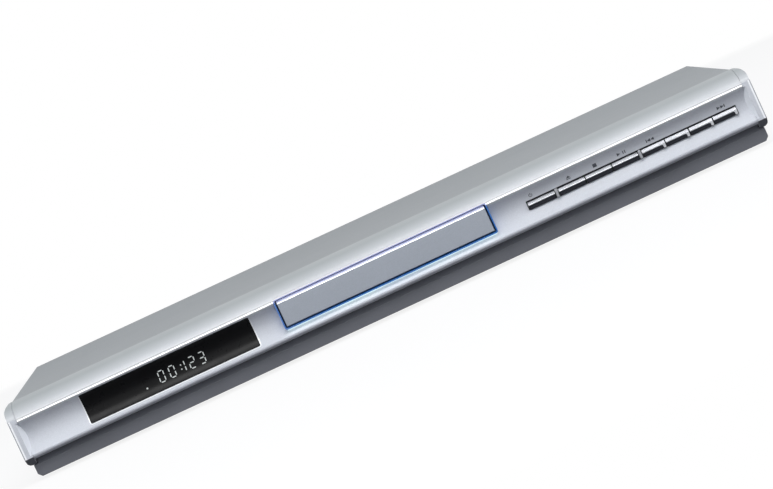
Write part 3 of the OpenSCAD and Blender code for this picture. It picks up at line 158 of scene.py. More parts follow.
# Feet, jacks, chip pins, capacitors as (x, back, radius, top), the transformer's winding and the turntable's ring
FEET = tuple((x, back) for x in (-184, 184) for back in (56, 205))
FOOT_HOLE_R, FOOT_HOLE_TOP = 5.5, 0.8
JACK_RINGS = (("yellow", 96, 31), ("green", 96, 17), ("blue", 110, 31), ("white", 110, 17),
              ("red", 124, 31), ("red", 124, 17))
JACK_RING_R, JACK_HOLE_R, JACK_RING_FRONT, JACK_RING_REAR = 5.1, 4.2, 237, 237.8
PIN_PITCH, PIN_REACH, PIN_WIDE, PIN_LOW, PIN_HIGH = 1.3, 1.4, 0.55, 0.03, 0.4
TRACK_PITCH = 2.0
CAPACITORS = ((-188.6, 162.2, 9, 31.6), (-94.4, 139.4, 6, 25.6), (-94.4, 162.2, 5, 23.6))
CAPACITOR_BORDER, CAPACITOR_SUNK, CAPACITOR_PROUD = 1.2, 0.2, 0.25
WINDING_BOX, WINDING_ROUND = ((-133.5, 157.6, 12.4), (-113.5, 192.2, 30.8)), 3
RUBBER_OUTSIDE, RUBBER_INSIDE, RUBBER_LOW, RUBBER_HIGH = 13.6, 10.4, 25.1, 25.5

# The stage, in metres, watts and degrees: lamps as name, size, place, height of the aim, power setting and colour
LAMPS = (
    ("key", (2.2, 1.0), (0.25, -1.5, 1.75), 0.02, "key_power", (1, 1, 1)),
    ("front", (2.4, 0.8), (0, -2.6, 0.5), 0.03, "fill_power", (0.9, 0.95, 1)),
    ("left", (0.8, 1.2), (-1.8, -0.9, 0.6), 0.02, "side_power", (1, 1, 1)),
    ("right", (0.8, 1.2), (1.8, -0.9, 0.6), 0.02, "side_power", (1, 1, 1)),
)
ROOM_COLOUR = (0.86, 0.94, 1.1)
FLOOR_HALF = 8
FLOOR_NEAR, FLOOR_PALE = (0.25, 0.25, 0.26), (0.95, 0.95, 0.95)
FLOOR_WHITE_SHARE = 0.86
SHADOW_END, WHITE_START = 0.3, 0.9
CAMERA_TURNS = (0.21, 3.56, 24.84)
CAMERA_AIM = (0.0054, NOSE_Y, 0.0375)
CAMERA_DISTANCE = 2.049
CAMERA_SENSOR = 36
CAMERA_LENS_SHARE = 3854 / 773

# Socket numbers of the colour inputs and output of a Mix node
MIX_FIRST, MIX_SECOND, MIX_OUT = 6, 7, 2


def tone(code):
    """Linear colour of an sRGB hex code."""
    channels = [int(code[i:i + 2], 16) / 255 for i in (0, 2, 4)]
    return tuple(c / 12.92 if c <= 0.04045 else ((c + 0.055) / 1.055) ** 2.4 for c in channels)


def at_mm(x, back, z):
    """The point of a place."""
    return Vector((x * MM, NOSE_Y + back * MM, z * MM))


def within(point, low, high):
    """Whether a point lies between two places."""
    return all(a < v < b for a, v, b in zip(at_mm(*low), point, at_mm(*high)))


def box_mm(node):
    """The corners of a node's box as places."""
    return tuple((v.x / MM, (v.y - NOSE_Y) / MM, v.z / MM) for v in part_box(node))


def arc(back, z, r_back, r_z, start, end, steps):
    """Points of an elliptic arc in the (back, z) plane."""
    turns = [math.radians(start + (end - start) * i / steps) for i in range(steps + 1)]
    return [(back + r_back * math.cos(a), z + r_z * math.sin(a)) for a in turns]


def scoop_arc(grow, turn, steps):
    """The concave front's outline, moved back by grow."""
    return arc(SCOOP_Y, SCOOP_Z, SCOOP_R + grow, SCOOP_R + grow, turn, -turn, steps)


def scoop_back(z):
    """How far behind the nose the concave front lies at a height."""
    return SCOOP_Y + math.sqrt(SCOOP_R ** 2 - (z - SCOOP_Z) ** 2)


def front_outline():
    """Outline of the moulded front, with finely stepped arcs."""
    inner_front = SCOOP_Y + (SCOOP_R + FRONT_WALL) * math.cos(math.radians(INNER_TURN))
    inner_turn = 180 - math.degrees(math.acos((LIP_DEPTH - inner_front) / (LIP_DEPTH - FRONT_WALL)))
    lip_rise = TOP_Z - CREASE_Z
    return (
        arc(LIP_DEPTH, CREASE_Z, LIP_DEPTH, lip_rise, 90, 180, 48)
        + arc(BEAD_R, BEAD_Z, BEAD_R, BEAD_R, 135, 233, 12)
        + scoop_arc(0, SCOOP_TURN, 56)
        + arc(SCOOP_EDGE + LOWER_LIP_R, LOWER_LIP_Z, LOWER_LIP_R, LOWER_LIP_R, 175, 245, 12)
        + [(UNDER_Y, UNDER_Z), (FRONT_BACK, UNDER_Z), (FRONT_BACK, UNDER_Z + FRONT_WALL),
           (inner_front + FRONT_WALL / 2, UNDER_Z + FRONT_WALL)]
        + scoop_arc(FRONT_WALL, INNER_TURN, 20)[::-1]
        + arc(LIP_DEPTH, CREASE_Z, LIP_DEPTH - FRONT_WALL, lip_rise - FRONT_WALL, inner_turn, 90, 16)
    )


def scoop_band(low, high, steps, front, rear):
    """Outline of a thin band on the concave front, between two heights and two depths behind its face."""
    heights = [low + (high - low) * i / steps for i in range(steps + 1)]
    return [(scoop_back(z) + front, z) for z in heights] + [(scoop_back(z) + rear, z) for z in reversed(heights)]


# Mesh helpers

def drawn_out(bm, points, along):
    """Draws a closed outline of points out along a vector, into a solid."""
    face = bm.faces.new([bm.verts.new(point) for point in points])
    grown = bmesh.ops.extrude_face_region(bm, geom=[face])["geom"]
    bmesh.ops.translate(bm, verts=[v for v in grown if isinstance(v, bmesh.types.BMVert)], vec=along)
    bmesh.ops.recalc_face_normals(bm, faces=bm.faces)


def outline_solid(bm, points, low, high):
    """Draws a (back, z) outline out along X."""
    drawn_out(bm, [at_mm(low, back, z) for back, z in points], Vector(((high - low) * MM, 0, 0)))


def layer(bm, points, step, thick):
    """Draws an (x, z) outline as a thin layer that follows the concave front, a step behind its face."""
    drawn_out(bm, [at_mm(x, scoop_back(z) + step, z) for x, z in points], Vector((0, thick * MM, 0)))


def box_solid(bm, low, high):
    """A box between two places; returns its vertices."""
    a, b = at_mm(*low), at_mm(*high)
    verts = bmesh.ops.create_cube(bm, size=1)["verts"]
    bmesh.ops.scale(bm, verts=verts, vec=b - a)
    bmesh.ops.translate(bm, verts=verts, vec=(a + b) / 2)
    return verts


def edges_along(verts, axis):
    """The edges among verts that run along an axis."""
    found = {e for v in verts for e in v.link_edges if all(w in verts for w in e.verts)}
    return [e for e in found if abs((e.verts[0].co - e.verts[1].co).normalized()[axis]) > 0.999]


def round_edges(bm, edges, radius, segments):
    """Rounds edges with an arc."""
    bmesh.ops.bevel(
        bm, geom=edges, offset=radius * MM, offset_type="OFFSET", segments=segments,
        profile=0.5, affect="EDGES", material=-1, clamp_overlap=True)


def rounded_box(bm, low, high, radius, axis, segments):
    """A box whose four edges along an axis are round."""
    round_edges(bm, edges_along(set(box_solid(bm, low, high)), axis), radius, segments)


def cylinder(bm, radius, start, end, segments=40):
    """A round bar between two places."""
    start, end = at_mm(*start), at_mm(*end)
    along = end - start
    verts = bmesh.ops.create_cone(
        bm, cap_ends=True, cap_tris=False, segments=segments,
        radius1=radius * MM, radius2=radius * MM, depth=along.length)["verts"]
    turn = Vector((0, 0, 1)).rotation_difference(along).to_matrix().to_4x4()
    bmesh.ops.transform(bm, matrix=Matrix.Translation((start + end) / 2) @ turn, verts=verts)


def new_piece(name, bm):
    """Makes a piece from a bmesh, with its place in its mesh."""
    mesh = bpy.data.meshes.new(name)
    bm.to_mesh(mesh)
    bm.free()
    piece = bpy.data.objects.new(name, mesh)
    bpy.context.scene.collection.objects.link(piece)
    return piece


def solid(name, draw, *sizes):
    """Makes a piece of one drawn solid."""
    bm = bmesh.new()
    draw(bm, *sizes)
    return new_piece(name, bm)


def settle(piece):
    """Applies a piece's modifiers to its mesh."""
    evaluated = piece.evaluated_get(bpy.context.evaluated_depsgraph_get())
    mesh = bpy.data.meshes.new_from_object(evaluated)
    old = piece.data
    piece.modifiers.clear()
    piece.data = mesh
    mesh.name = piece.name
    bpy.data.meshes.remove(old)


def carve(piece, operation, *tools):
    """Cuts or keeps a piece by other solids, which are then gone."""
    for tool in tools:
        cut = piece.modifiers.new("carve", "BOOLEAN")
        cut.operation = operation
        cut.solver = "EXACT"
        cut.object = tool
    settle(piece)
    for tool in tools:
        bpy.data.meshes.remove(tool.data)


def shade(piece, angle=35):
    """Smooth shading that breaks at edges sharper than an angle."""
    for face in piece.data.polygons:
        face.use_smooth = True
    piece.data.set_sharp_from_angle(angle=math.radians(angle))


def soften(piece, width, segments=2, angle=32):
    """Merges stray points, gives edges sharper than an angle a small round, and shades the rest smooth."""
    stray = 0.002 * MM
    bm = bmesh.new()
    bm.from_mesh(piece.data)
    bmesh.ops.remove_doubles(bm, verts=bm.verts, dist=stray)
    bmesh.ops.dissolve_degenerate(bm, edges=bm.edges, dist=stray)
    bm.to_mesh(piece.data)
    bm.free()
    if width > 0:
        bevel = piece.modifiers.new("edge_round", "BEVEL")
        bevel.width = width * MM
        bevel.segments = segments
        bevel.limit_method = "ANGLE"
        bevel.angle_limit = math.radians(angle)
        bevel.use_clamp_overlap = True
        bevel.miter_outer = "MITER_ARC"
        settle(piece)
    shade(piece, angle)
    piece.modifiers.new("even_normals", "WEIGHTED_NORMAL").keep_sharp = True
    settle(piece)


def opening(name, left, right, low, high, radius):
    """A solid that cuts an opening with round corners through the front."""
    return solid(name, rounded_box, (left, -1, low), (right, OPENING_DEPTH, high), radius, 1, 8)


def disc(name, radius, centre, start, end, axis, segments=40):
    """A round solid about a centre, from start to end along an axis."""
    ends = [[*centre[:axis], stop, *centre[axis:]] for stop in (start, end)]
    return solid(name, cylinder, radius, *ends, segments)


def body_of(node):
    """The body that lists a node."""
    return next(b for b, nodes in frame["record"]["behaviour"]["bodies"].items() if node in nodes)


def dress(piece, paint, body="case", replaced=()):
    """Gives a piece its finish, the body that it rides on and the nodes that it stands for."""
    piece.data.materials.clear()
    piece.data.materials.append(finish(paint))
    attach(piece, body)
    if replaced:
        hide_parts(*replaced)


def dress_as(piece, node):
    """Gives a piece the slot, the finish and the body of the node that it stands for."""
    dress(piece, SLOTS[node], body_of(node), [node])


def next_finish(piece, paint, chosen):
    """Gives the faces that a test picks, by centre and normal, one more finish."""
    piece.data.materials.append(finish(paint))
    for face in piece.data.polygons:
        if chosen(face.center, face.normal):
            face.material_index = len(piece.data.materials) - 1


def merged_mesh(node):
    """A CAD node's mesh, with its seams closed."""
    bm = bmesh.new()
    bm.from_mesh(frame["nodes"][node].data)
    bmesh.ops.remove_doubles(bm, verts=bm.verts, dist=0.001 * MM)
    return bm


def copied_node(node, name):
    """A merged copy of a CAD node's mesh, with flat areas as single faces."""
    bm = merged_mesh(node)
    bmesh.ops.dissolve_limit(
        bm, angle_limit=math.radians(0.5), verts=bm.verts, edges=bm.edges, delimit={"NORMAL"})
    return new_piece(name, bm)


def rounded_node(node, name, width, segments=2, angle=32):
    """A node's shape with rounded edges, dressed to stand for it."""
    piece = copied_node(node, name)
    soften(piece, width, segments, angle)
    dress_as(piece, node)
    return piece


def island_boxes(node):
    """The corners of each separate solid of a CAD node, as places."""
    bm = merged_mesh(node)
    left, boxes = set(bm.verts), []
    while left:
        island, edge = set(), {left.pop()}
        while edge:
            island |= edge
            edge = {link.other_vert(v) for v in edge for link in v.link_edges} - island
        left -= island
        xs, ys, zs = zip(*(v.co for v in island))
        boxes.append(tuple((pick(xs) / MM, (pick(ys) - NOSE_Y) / MM, pick(zs) / MM) for pick in (min, max)))
    bm.free()
    return sorted(boxes)


# Material helpers

def maths(tree, operation, first, second):
    """A sum, product or larger of two values, of which the second may be a number."""
    node = tree.nodes.new("ShaderNodeMath")
    node.operation = operation
    tree.links.new(first, node.inputs[0])
    if isinstance(second, (int, float)):
        node.inputs[1].default_value = second
    else:
        tree.links.new(second, node.inputs[1])
    return node.outputs["Value"]


def empty_tree(owner):
    """The emptied node tree of a material or a world."""
    owner.use_nodes = True
    owner.node_tree.nodes.clear()
    return owner.node_tree


def new_material(name):
    """A material with its node tree and its shader."""
    material = bpy.data.materials.new(name)
    tree = empty_tree(material)
    out = tree.nodes.new("ShaderNodeOutputMaterial")
    shader = tree.nodes.new("ShaderNodeBsdfPrincipled")
    tree.links.new(shader.outputs["BSDF"], out.inputs["Surface"])
    return material, tree, shader


def place(tree, scale=(1, 1, 1)):
    """Object coordinates, stretched."""
    coords = tree.nodes.new("ShaderNodeTexCoord")
    mapping = tree.nodes.new("ShaderNodeMapping")
    mapping.inputs["Scale"].default_value = scale
    tree.links.new(coords.outputs["Object"], mapping.inputs["Vector"])
    return mapping.outputs["Vector"]


def along_axis(tree, axis):
    """Object coordinates along one axis."""
    axes = tree.nodes.new("ShaderNodeSeparateXYZ")
    tree.links.new(place(tree), axes.inputs["Vector"])
    return axes.outputs[axis]


def noise(tree, period, detail, rough=0.5, stretch=(1, 1, 1)):
    """Noise whose features are about period millimetres across."""
    node = tree.nodes.new("ShaderNodeTexNoise")
    node.inputs["Scale"].default_value = 1 / (period * MM)
    node.inputs["Detail"].default_value = detail
    node.inputs["Roughness"].default_value = rough
    tree.links.new(place(tree, stretch), node.inputs["Vector"])
    return node.outputs["Fac"]


def spread(tree, value, low, high, start=0.3, end=0.7):
    """Maps the stretch from start to end, which is a noise's middle unless given, to a range."""
    node = tree.nodes.new("ShaderNodeMapRange")
    for name, number in (("From Min", start), ("From Max", end), ("To Min", low), ("To Max", high)):
        node.inputs[name].default_value = number
    tree.links.new(value, node.inputs["Value"])
    return node.outputs["Result"]


def shades(colour, amount):
    """A darker and a lighter neighbour of a colour."""
    return tuple(c * (1 - amount) for c in colour), tuple(min(1.0, c * (1 + amount)) for c in colour)


def blend_colours(tree, factor, first, second):
    """Mixes two colours by a factor; the first may come from another node."""
    node = tree.nodes.new("ShaderNodeMix")
    node.data_type = "RGBA"
    tree.links.new(factor, node.inputs["Factor"])
    if isinstance(first, tuple):
        node.inputs[MIX_FIRST].default_value = (*first, 1)
    else:
        tree.links.new(first, node.inputs[MIX_FIRST])
    node.inputs[MIX_SECOND].default_value = (*second, 1)
    return node.outputs[MIX_OUT]


def surface(tree, shader, colour, rough, height, relief, values):
    """Wires a colour, a roughness and a bump into a shader, and sets its plain values."""
    bump = tree.nodes.new("ShaderNodeBump")
    bump.inputs["Distance"].default_value = relief * MM
    tree.links.new(height, bump.inputs["Height"])
    tree.links.new(bump.outputs["Normal"], shader.inputs["Normal"])
    tree.links.new(colour, shader.inputs["Base Color"])
    tree.links.new(rough, shader.inputs["Roughness"])
    for name, value in values.items():
        shader.inputs[name].default_value = value


# Finishes

def plain_finish(name, colour, rough, grain=0.35, relief=0.006, metallic=0.0, specular=0.5, coat=0.0):
    """Moulded or painted surface: cloudy colour, uneven gloss and a fine grain."""
    material, tree, shader = new_material(name)
    cloud = spread(tree, noise(tree, period=24, detail=3), 0, 1)
    patch = noise(tree, period=9, detail=4, rough=0.6)
    surface(
        tree, shader, blend_colours(tree, cloud, *shades(colour, 0.06)),
        spread(tree, patch, rough - 0.08, rough + 0.08), noise(tree, grain, detail=2), relief,
        {"Metallic": metallic, "Specular IOR Level": specular, "Coat Weight": coat, "Coat Roughness": 0.1})
    return material


def flake_paint(name, colour, rough, metallic=0.0, vary=0.04, coat=0.0, specular=0.5):
    """Silver paint: fine metal flakes in a clear binder."""
    flake = 0.35
    material, tree, shader = new_material(name)
    flakes = tree.nodes.new("ShaderNodeTexVoronoi")
    flakes.inputs["Scale"].default_value = 1 / (flake * MM)
    tree.links.new(place(tree), flakes.inputs["Vector"])
    grains = tree.nodes.new("ShaderNodeSeparateColor")
    tree.links.new(flakes.outputs["Color"], grains.inputs["Color"])
    surface(
        tree, shader, blend_colours(tree, grains.outputs["Red"], *shades(colour, vary)),
        spread(tree, noise(tree, period=18, detail=3), rough - 0.03, rough + 0.03),
        noise(tree, flake, detail=2), 0.002,
        {"Metallic": metallic, "Specular IOR Level": specular, "Coat Weight": coat, "Coat Roughness": 0.2})
    return material


def fade_paint(material, axis, start, end, colour):
    """Lets a paint change to another colour along an axis, the same way on both sides of the middle."""
    tree = material.node_tree
    base = next(node for node in tree.nodes if node.type == "BSDF_PRINCIPLED").inputs["Base Color"]
    distance = maths(tree, "ABSOLUTE", along_axis(tree, axis), 0)
    share = spread(tree, distance, 0, 1, start * MM, end * MM)
    tree.links.new(blend_colours(tree, share, base.links[0].from_socket, colour), base)
    return material


def lip_finish(name, shaded_top_colour, lit_nose_colour):
    """The lip's silver paint, which gets lighter from its top to its nose."""
    material = flake_paint(name, lit_nose_colour, 0.45, metallic=0.05, specular=0.2)
    return fade_paint(material, "Z", CREASE_Z, TOP_Z - 1.5, shaded_top_colour)


def cap_finish(name, colour, highlight_colour, shade_colour):
    """The end caps' silver paint, bright along the outer edge and darker on the side."""
    material = flake_paint(name, colour, 0.5, specular=0.12)
    fade_paint(material, "X", BODY_HALF - CAP_HIGHLIGHT_START, BODY_HALF - CAP_HIGHLIGHT_FULL, highlight_colour)
    return fade_paint(material, "X", BODY_HALF - CAP_SHADE_START, BODY_HALF - CAP_SHADE_FULL, shade_colour)


def brushed_metal(name, colour, rough, stretch, relief=0.003, metallic=1.0):
    """Metal with long fine scratches along one axis."""
    material, tree, shader = new_material(name)
    lines = noise(tree, period=9, detail=4, rough=0.7, stretch=stretch)
    surface(
        tree, shader, blend_colours(tree, spread(tree, lines, 0, 1), *shades(colour, 0.08)),
        spread(tree, lines, rough - 0.07, rough + 0.07), lines, relief, {"Metallic": metallic})
    return material


def chrome_finish(name, colour, rough):
    """Chromed plastic: mirror-like with faint waviness and fine haze."""
    material, tree, shader = new_material(name)
    cloud = spread(tree, noise(tree, period=11, detail=2), 0, 1)
    haze = noise(tree, period=5, detail=4, rough=0.65)
    surface(
        tree, shader, blend_colours(tree, cloud, *shades(colour, 0.03)),
        spread(tree, haze, rough - 0.03, rough + 0.04), noise(tree, period=14, detail=1), 0.0015,
        {"Metallic": 1.0})
    return material


def lit_finish(name, colour, strength):
    """A lit surface whose glow varies a little, over a dark moulded base."""
    material, tree, shader = new_material(name)
    cloud = noise(tree, period=14, detail=3)
    base = tuple(c * LIT_BASE for c in colour)
    surface(
        tree, shader, blend_colours(tree, cloud, *shades(base, 0.2)),
        spread(tree, noise(tree, period=5, detail=3), 0.35, 0.45),
        noise(tree, period=0.5, detail=2), 0.004, {"Emission Strength": strength})
    glow = blend_colours(tree, spread(tree, cloud, 0, 1), *shades(colour, 0.12))
    tree.links.new(glow, shader.inputs["Emission Color"])
    return material


def ring_finish(name, low_colour, high_colour, strength):
    """Blue light guide: deep blue along its foot, pale violet along its top, a little paler at its left end."""
    material, tree, shader = new_material(name)
    low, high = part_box("tray_light_ring")
    upward = spread(tree, along_axis(tree, "Z"), 0, 1, start=high.z - 3 * MM, end=high.z - 1.6 * MM)
    leftward = spread(tree, along_axis(tree, "X"), 0.1, 0, start=low.x, end=low.x * 0.6)
    colours = blend_colours(tree, maths(tree, "MAXIMUM", upward, leftward), low_colour, high_colour)
    surface(
        tree, shader, colours, spread(tree, noise(tree, period=6, detail=3), 0.12, 0.24),
        noise(tree, period=8, detail=2), 0.004, {"Emission Strength": strength, "Coat Weight": 0.3})
    tree.links.new(colours, shader.inputs["Emission Color"])
    return material


def board_finish(name, colour, track):
    """Lacquered circuit board: groups of fine copper tracks, across or back, under the lacquer."""
    material, tree, shader = new_material(name)
    across = spread(tree, noise(tree, period=26, detail=0), 0, 1, start=0.49, end=0.5)
    groups = []
    for direction, group in (("X", across), ("Y", spread(tree, across, 1, 0, start=0, end=1))):
        wave = tree.nodes.new("ShaderNodeTexWave")
        wave.bands_direction = direction
        wave.inputs["Scale"].default_value = math.pi / 10 / (TRACK_PITCH * MM)
        tree.links.new(place(tree), wave.inputs["Vector"])
        groups.append(maths(tree, "MULTIPLY", spread(tree, wave.outputs["Fac"], 0, 1, start=0.8, end=0.92), group))
    bare = spread(tree, noise(tree, period=14, detail=0, stretch=(1.3, 0.8, 1)), 0, 1, start=0.47, end=0.48)
    shown = maths(tree, "MULTIPLY", maths(tree, "ADD", *groups), bare)
    surface(
        tree, shader, blend_colours(tree, shown, colour, track),
        spread(tree, noise(tree, period=8, detail=3), 0.34, 0.5), shown, 0.03, {})
    return material


FINISHES = {
    "cover_paint": lambda s: flake_paint(s, tuple(settings().cover_paint), 0.6, specular=0.02),
    "front_paint": lambda s: flake_paint(s, tuple(settings().front_paint), 0.5, specular=0.12),
    # The caps: the front's paint with a near-white painted highlight along the outer edge and grey painted shade on
    # the side
    "cap_paint": lambda s: cap_finish(s, tuple(settings().front_paint), tone("FCFDFF"), tone("96999F")),
    # The lip: a darker tone of the front's paint that lightens toward the nose, as painted shading
    "lip_paint": lambda s: lip_finish(s, tuple(settings().lip_paint), tone("D2D4D7")),
    "lid_metal": lambda s: flake_paint(s, tuple(settings().lid_paint), 0.36, metallic=0.35),
    # Near-white paint on edges where highlights fall: painted highlight
    "bright_edge": lambda s: flake_paint(s, tone("FDFEFF"), 0.22, metallic=0.6, vary=0.02),
    # Near-white paint on the caps' slanted inner walls: painted light
    "facet_paint": lambda s: flake_paint(s, tone("F0F3F8"), 0.3, metallic=0.1, vary=0.02, coat=0.3),
    # Light grey on the cover's front edge and round the window: painted highlight
    "worn_edge": lambda s: flake_paint(s, tone("E6E8EA"), 0.35, metallic=0.2, vary=0.02),
    # Dark grey in the slot and on the keys' sides, back and top: painted shade
    "slot_shade": lambda s: plain_finish(s, tone("34363A"), 0.5),
    # Dark chrome on the keys' lower facets: painted dark reflection
    "button_foot": lambda s: chrome_finish(s, tone("55575D"), 0.22),
    "button_chrome": lambda s: chrome_finish(s, tone("B4B6BB"), 0.24),
    "skirt_grey": lambda s: plain_finish(s, tuple(settings().skirt_paint), 0.5),
    "panel_paint": lambda s: plain_finish(s, tone("4C4D51"), 0.5, relief=0.012),
    "foot_rubber": lambda s: plain_finish(s, tone("1A1A1B"), 0.75, grain=0.6, relief=0.02, specular=0.3),
    "smoked_window": lambda s: plain_finish(s, tone("101011"), 0.3, relief=0.001, specular=0.12),
    "display_glass": lambda s: plain_finish(s, tone("101314"), 0.12, coat=0.6),
    "board_green": lambda s: board_finish(s, tone("1E5B33"), tone("3F7A45")),
    "board_brown": lambda s: board_finish(s, tone("94733F"), tone("A98A50")),
    "light_guide": lambda s: ring_finish(s, tone("245C9E"), tone("A9B0DC"), 0.4),
    "digit_glow": lambda s: lit_finish(s, tone("C4CACA"), 0.85),
    # A glowing band on the front under the ring: painted pool of light
    "ring_spill": lambda s: lit_finish(s, tone("CDEBFA"), 0.95),
    "ring_glow": lambda s: lit_finish(s, tone("E2F3FF"), 1.3),
    "print_grey": lambda s: plain_finish(s, tone("55585E"), 0.5),
    "part_black": lambda s: plain_finish(s, tone("202022"), 0.45),
    "capacitor_sleeve": lambda s: plain_finish(s, tone("20283C"), 0.3, coat=0.3),
    "ribbon_white": lambda s: plain_finish(s, tone("DEDCD4"), 0.5),
    "loader_plastic": lambda s: plain_finish(s, tone("2B2C2E"), 0.5, relief=0.01),
    "tray_plastic": lambda s: plain_finish(s, tone("45474C"), 0.48, relief=0.01),
    "gear_plastic": lambda s: plain_finish(s, tone("E3E1D9"), 0.42),
    "turntable_black": lambda s: plain_finish(s, tone("303134"), 0.55),
    "sled_casting": lambda s: plain_finish(s, tone("7B7D80"), 0.5, metallic=0.5, grain=0.8, relief=0.02),
    "lens_black": lambda s: plain_finish(s, tone("1B1B22"), 0.25, coat=0.4),
    "winding_tape": lambda s: plain_finish(s, tone("C9A23C"), 0.4, relief=0.02),
    "insulator_red": lambda s: plain_finish(s, tone("A82A26"), 0.4),
    "insulator_white": lambda s: plain_finish(s, tone("DCDAD2"), 0.4),
    "insulator_yellow": lambda s: plain_finish(s, tone("D9B42C"), 0.4),
    "insulator_green": lambda s: plain_finish(s, tone("3C8A4C"), 0.4),
    "insulator_blue": lambda s: plain_finish(s, tone("2F55A0"), 0.4),
    "sheet_steel": lambda s: brushed_metal(s, tone("96989B"), 0.48, (1, 14, 14)),
    "screw_steel": lambda s: brushed_metal(s, tone("C6C7C8"), 0.28, (8, 8, 30)),
    "motor_steel": lambda s: brushed_metal(s, tone("B6B7B9"), 0.3, (1, 1, 30)),
    "sink_aluminium": lambda s: brushed_metal(s, tone("BEBFC0"), 0.36, (1, 24, 1)),
    "pin_metal": lambda s: brushed_metal(s, tone("DAD9D2"), 0.2, (20, 1, 20)),
    "phono_gold": lambda s: brushed_metal(s, tone("D8B04E"), 0.2, (20, 2, 20)),
    "transformer_core": lambda s: brushed_metal(s, tone("6B5F48"), 0.5, (1, 1, 40), relief=0.02, metallic=0.6),
}


def finish(paint):
    """The material of a finish, made once."""
    name = paint + "_finish"
    return bpy.data.materials.get(name) or FINISHES[paint](name)


# Settings

def colour_setting(name, description, code):
    """A colour a user would change."""
    return bpy.props.FloatVectorProperty(
        name=name, description=description, subtype="COLOR", size=3, min=0, max=1, default=tone(code))


def length_setting(name, description, default, low, high):
    """A length a user would change; Blender holds it in metres."""
    return bpy.props.FloatProperty(
        name=name, description=description, unit="LENGTH", subtype="DISTANCE",
        default=default * MM, min=low * MM, max=high * MM, precision=5)


def power_setting(name, description, default):
    """The power of a light in watts."""
    return bpy.props.FloatProperty(name=name, description=description, default=default, min=0, subtype="POWER")


class PlayerSettings(bpy.types.PropertyGroup):
    """Colours, edge sizes and light of the player."""
    cover_paint: colour_setting("Cover paint", "Colour of the painted steel cover", "A6A9AA")
    front_paint: colour_setting("Front paint", "Colour of the moulded front and its end caps", "CCCFD5")
    # The lip's top colour, a darker tone of the front's paint as painted shade
    lip_paint: colour_setting("Lip paint", "Colour of the front's top lip", "A4A9AA")
    skirt_paint: colour_setting("Skirt", "Colour of the lower skirt", "686A70")
    lid_paint: colour_setting("Tray lid", "Colour of the tray's lid", "A6ACB5")
    cap_round: length_setting("Cap round", "Radius on the outer edge of the end caps", 1.15, 0.1, 1.2)
    edge_round: length_setting("Edge round", "Radius on the moulded edges", 0.25, 0.05, 0.6)
    fold_round: length_setting("Fold round", "Outer radius of the cover's folds", 0.7, 0.1, 1.5)
    rim_round: length_setting("Rim round", "Radius round the openings in the front", 0.3, 0.05, 0.4)
    digit_height: length_setting("Digit height", "Height of the lit digits", 6.1, 4, 9)
    key_power: power_setting("Key light", "Power of the large soft light above the front", 43.0)
    fill_power: power_setting("Fill light", "Power of the low soft light in front", 1.5)
    side_power: power_setting("Side light", "Power of each soft light beside the player", 7.0)
    room_light: bpy.props.FloatProperty(
        name="Room light", description="Strength of the even light of the room", default=0.25, min=0, max=3)


def settings():
    """The settings that hold the colours and sizes."""
    return bpy.context.scene.disc_player


# Operators of the outside, in the order in which they run

OPERATORS = []


def operator(label):
    """Adds an operator that runs a making function, with the function's name and docstring."""
    def add(make):
        def execute(self, context):
            make()
            return {"FINISHED"}

        name = make.__name__.removeprefix("make_")
        OPERATORS.append(type("DISCPLAYER_OT_" + name, (bpy.types.Operator,), {
            "bl_idname": "disc_player." + name, "bl_label": label, "__doc__": make.__doc__, "execute": execute}))
        return make
    return add


def window_sides():
    """Where the window's opening starts and ends along the front."""
    low, high = box_mm("display_window")
    return low[0] + WINDOW_INSET, high[0] - WINDOW_INSET


@operator("Dress the frame")
def make_finishes():
    """Give every node of the frame the finish of its slot"""
    for node, item in frame["nodes"].items():
        for entry in item.material_slots:
            entry.material = finish(SLOTS[node])


@operator("Front moulding")
def make_front():
    """Make the moulded front with its three openings"""
    front = solid("front_moulding", outline_solid, front_outline(), -FRONT_HALF, FRONT_HALF)
    left, right = window_sides()
    ring_low, ring_high = box_mm("tray_light_ring")
    first, last = box_mm("standby_button")[0][0], box_mm("next_button")[1][0]
    carve(
        front, "DIFFERENCE",
        opening("cut_window", left, right, WINDOW_LOW, WINDOW_HIGH, WINDOW_CORNER),
        opening("cut_ring", ring_low[0] + RING_INSET, ring_high[0] - RING_INSET, RING_LOW, RING_HIGH, RING_CORNER),
        opening("cut_slot", first - SLOT_GAP, last + SLOT_GAP, SLOT_LOW, SLOT_HIGH, SLOT_CORNER))
    soften(front, settings().rim_round / MM, angle=50)
    dress_as(front, "front_fascia")
    lip_low, crease, scoop_top, bead_high = (
        z * MM for z in (LIP_EDGE_Z, CREASE_Z, SCOOP_TOP, BEAD_Z + BEAD_R * 0.55))
    bead_back = NOSE_Y + BEAD_R * MM
    # The lip's painted shading
    next_finish(front, "lip_paint", lambda at, normal: at.z > lip_low and (normal.z > 0 or normal.y < 0))
    # The nose's bead and the lip's lower end get a painted highlight
    next_finish(front, "bright_edge", lambda at, normal: at.y < bead_back and normal.y < 0 and (
        scoop_top < at.z < bead_high or crease < at.z < lip_low))
    # The edges of the window's opening at its sides and foot get a painted highlight
    rim_box = (left - MARGIN, -1, 0), (right + MARGIN, FACET_DEPTH, WINDOW_HIGH - 0.3)
    next_finish(front, "bright_edge", lambda at, normal: within(at, *rim_box) and normal.y < -0.1 and (
        normal.z > 0.8 or abs(normal.x) > 0.3))
    # The slot's walls get painted shade
    slot_box = (first - MARGIN, -1, SLOT_LOW - 0.5), (last + MARGIN, LIP_DEPTH, SLOT_HIGH + 0.3)
    next_finish(front, "slot_shade", lambda at, normal: within(at, *slot_box) and abs(normal.y) < 0.6)


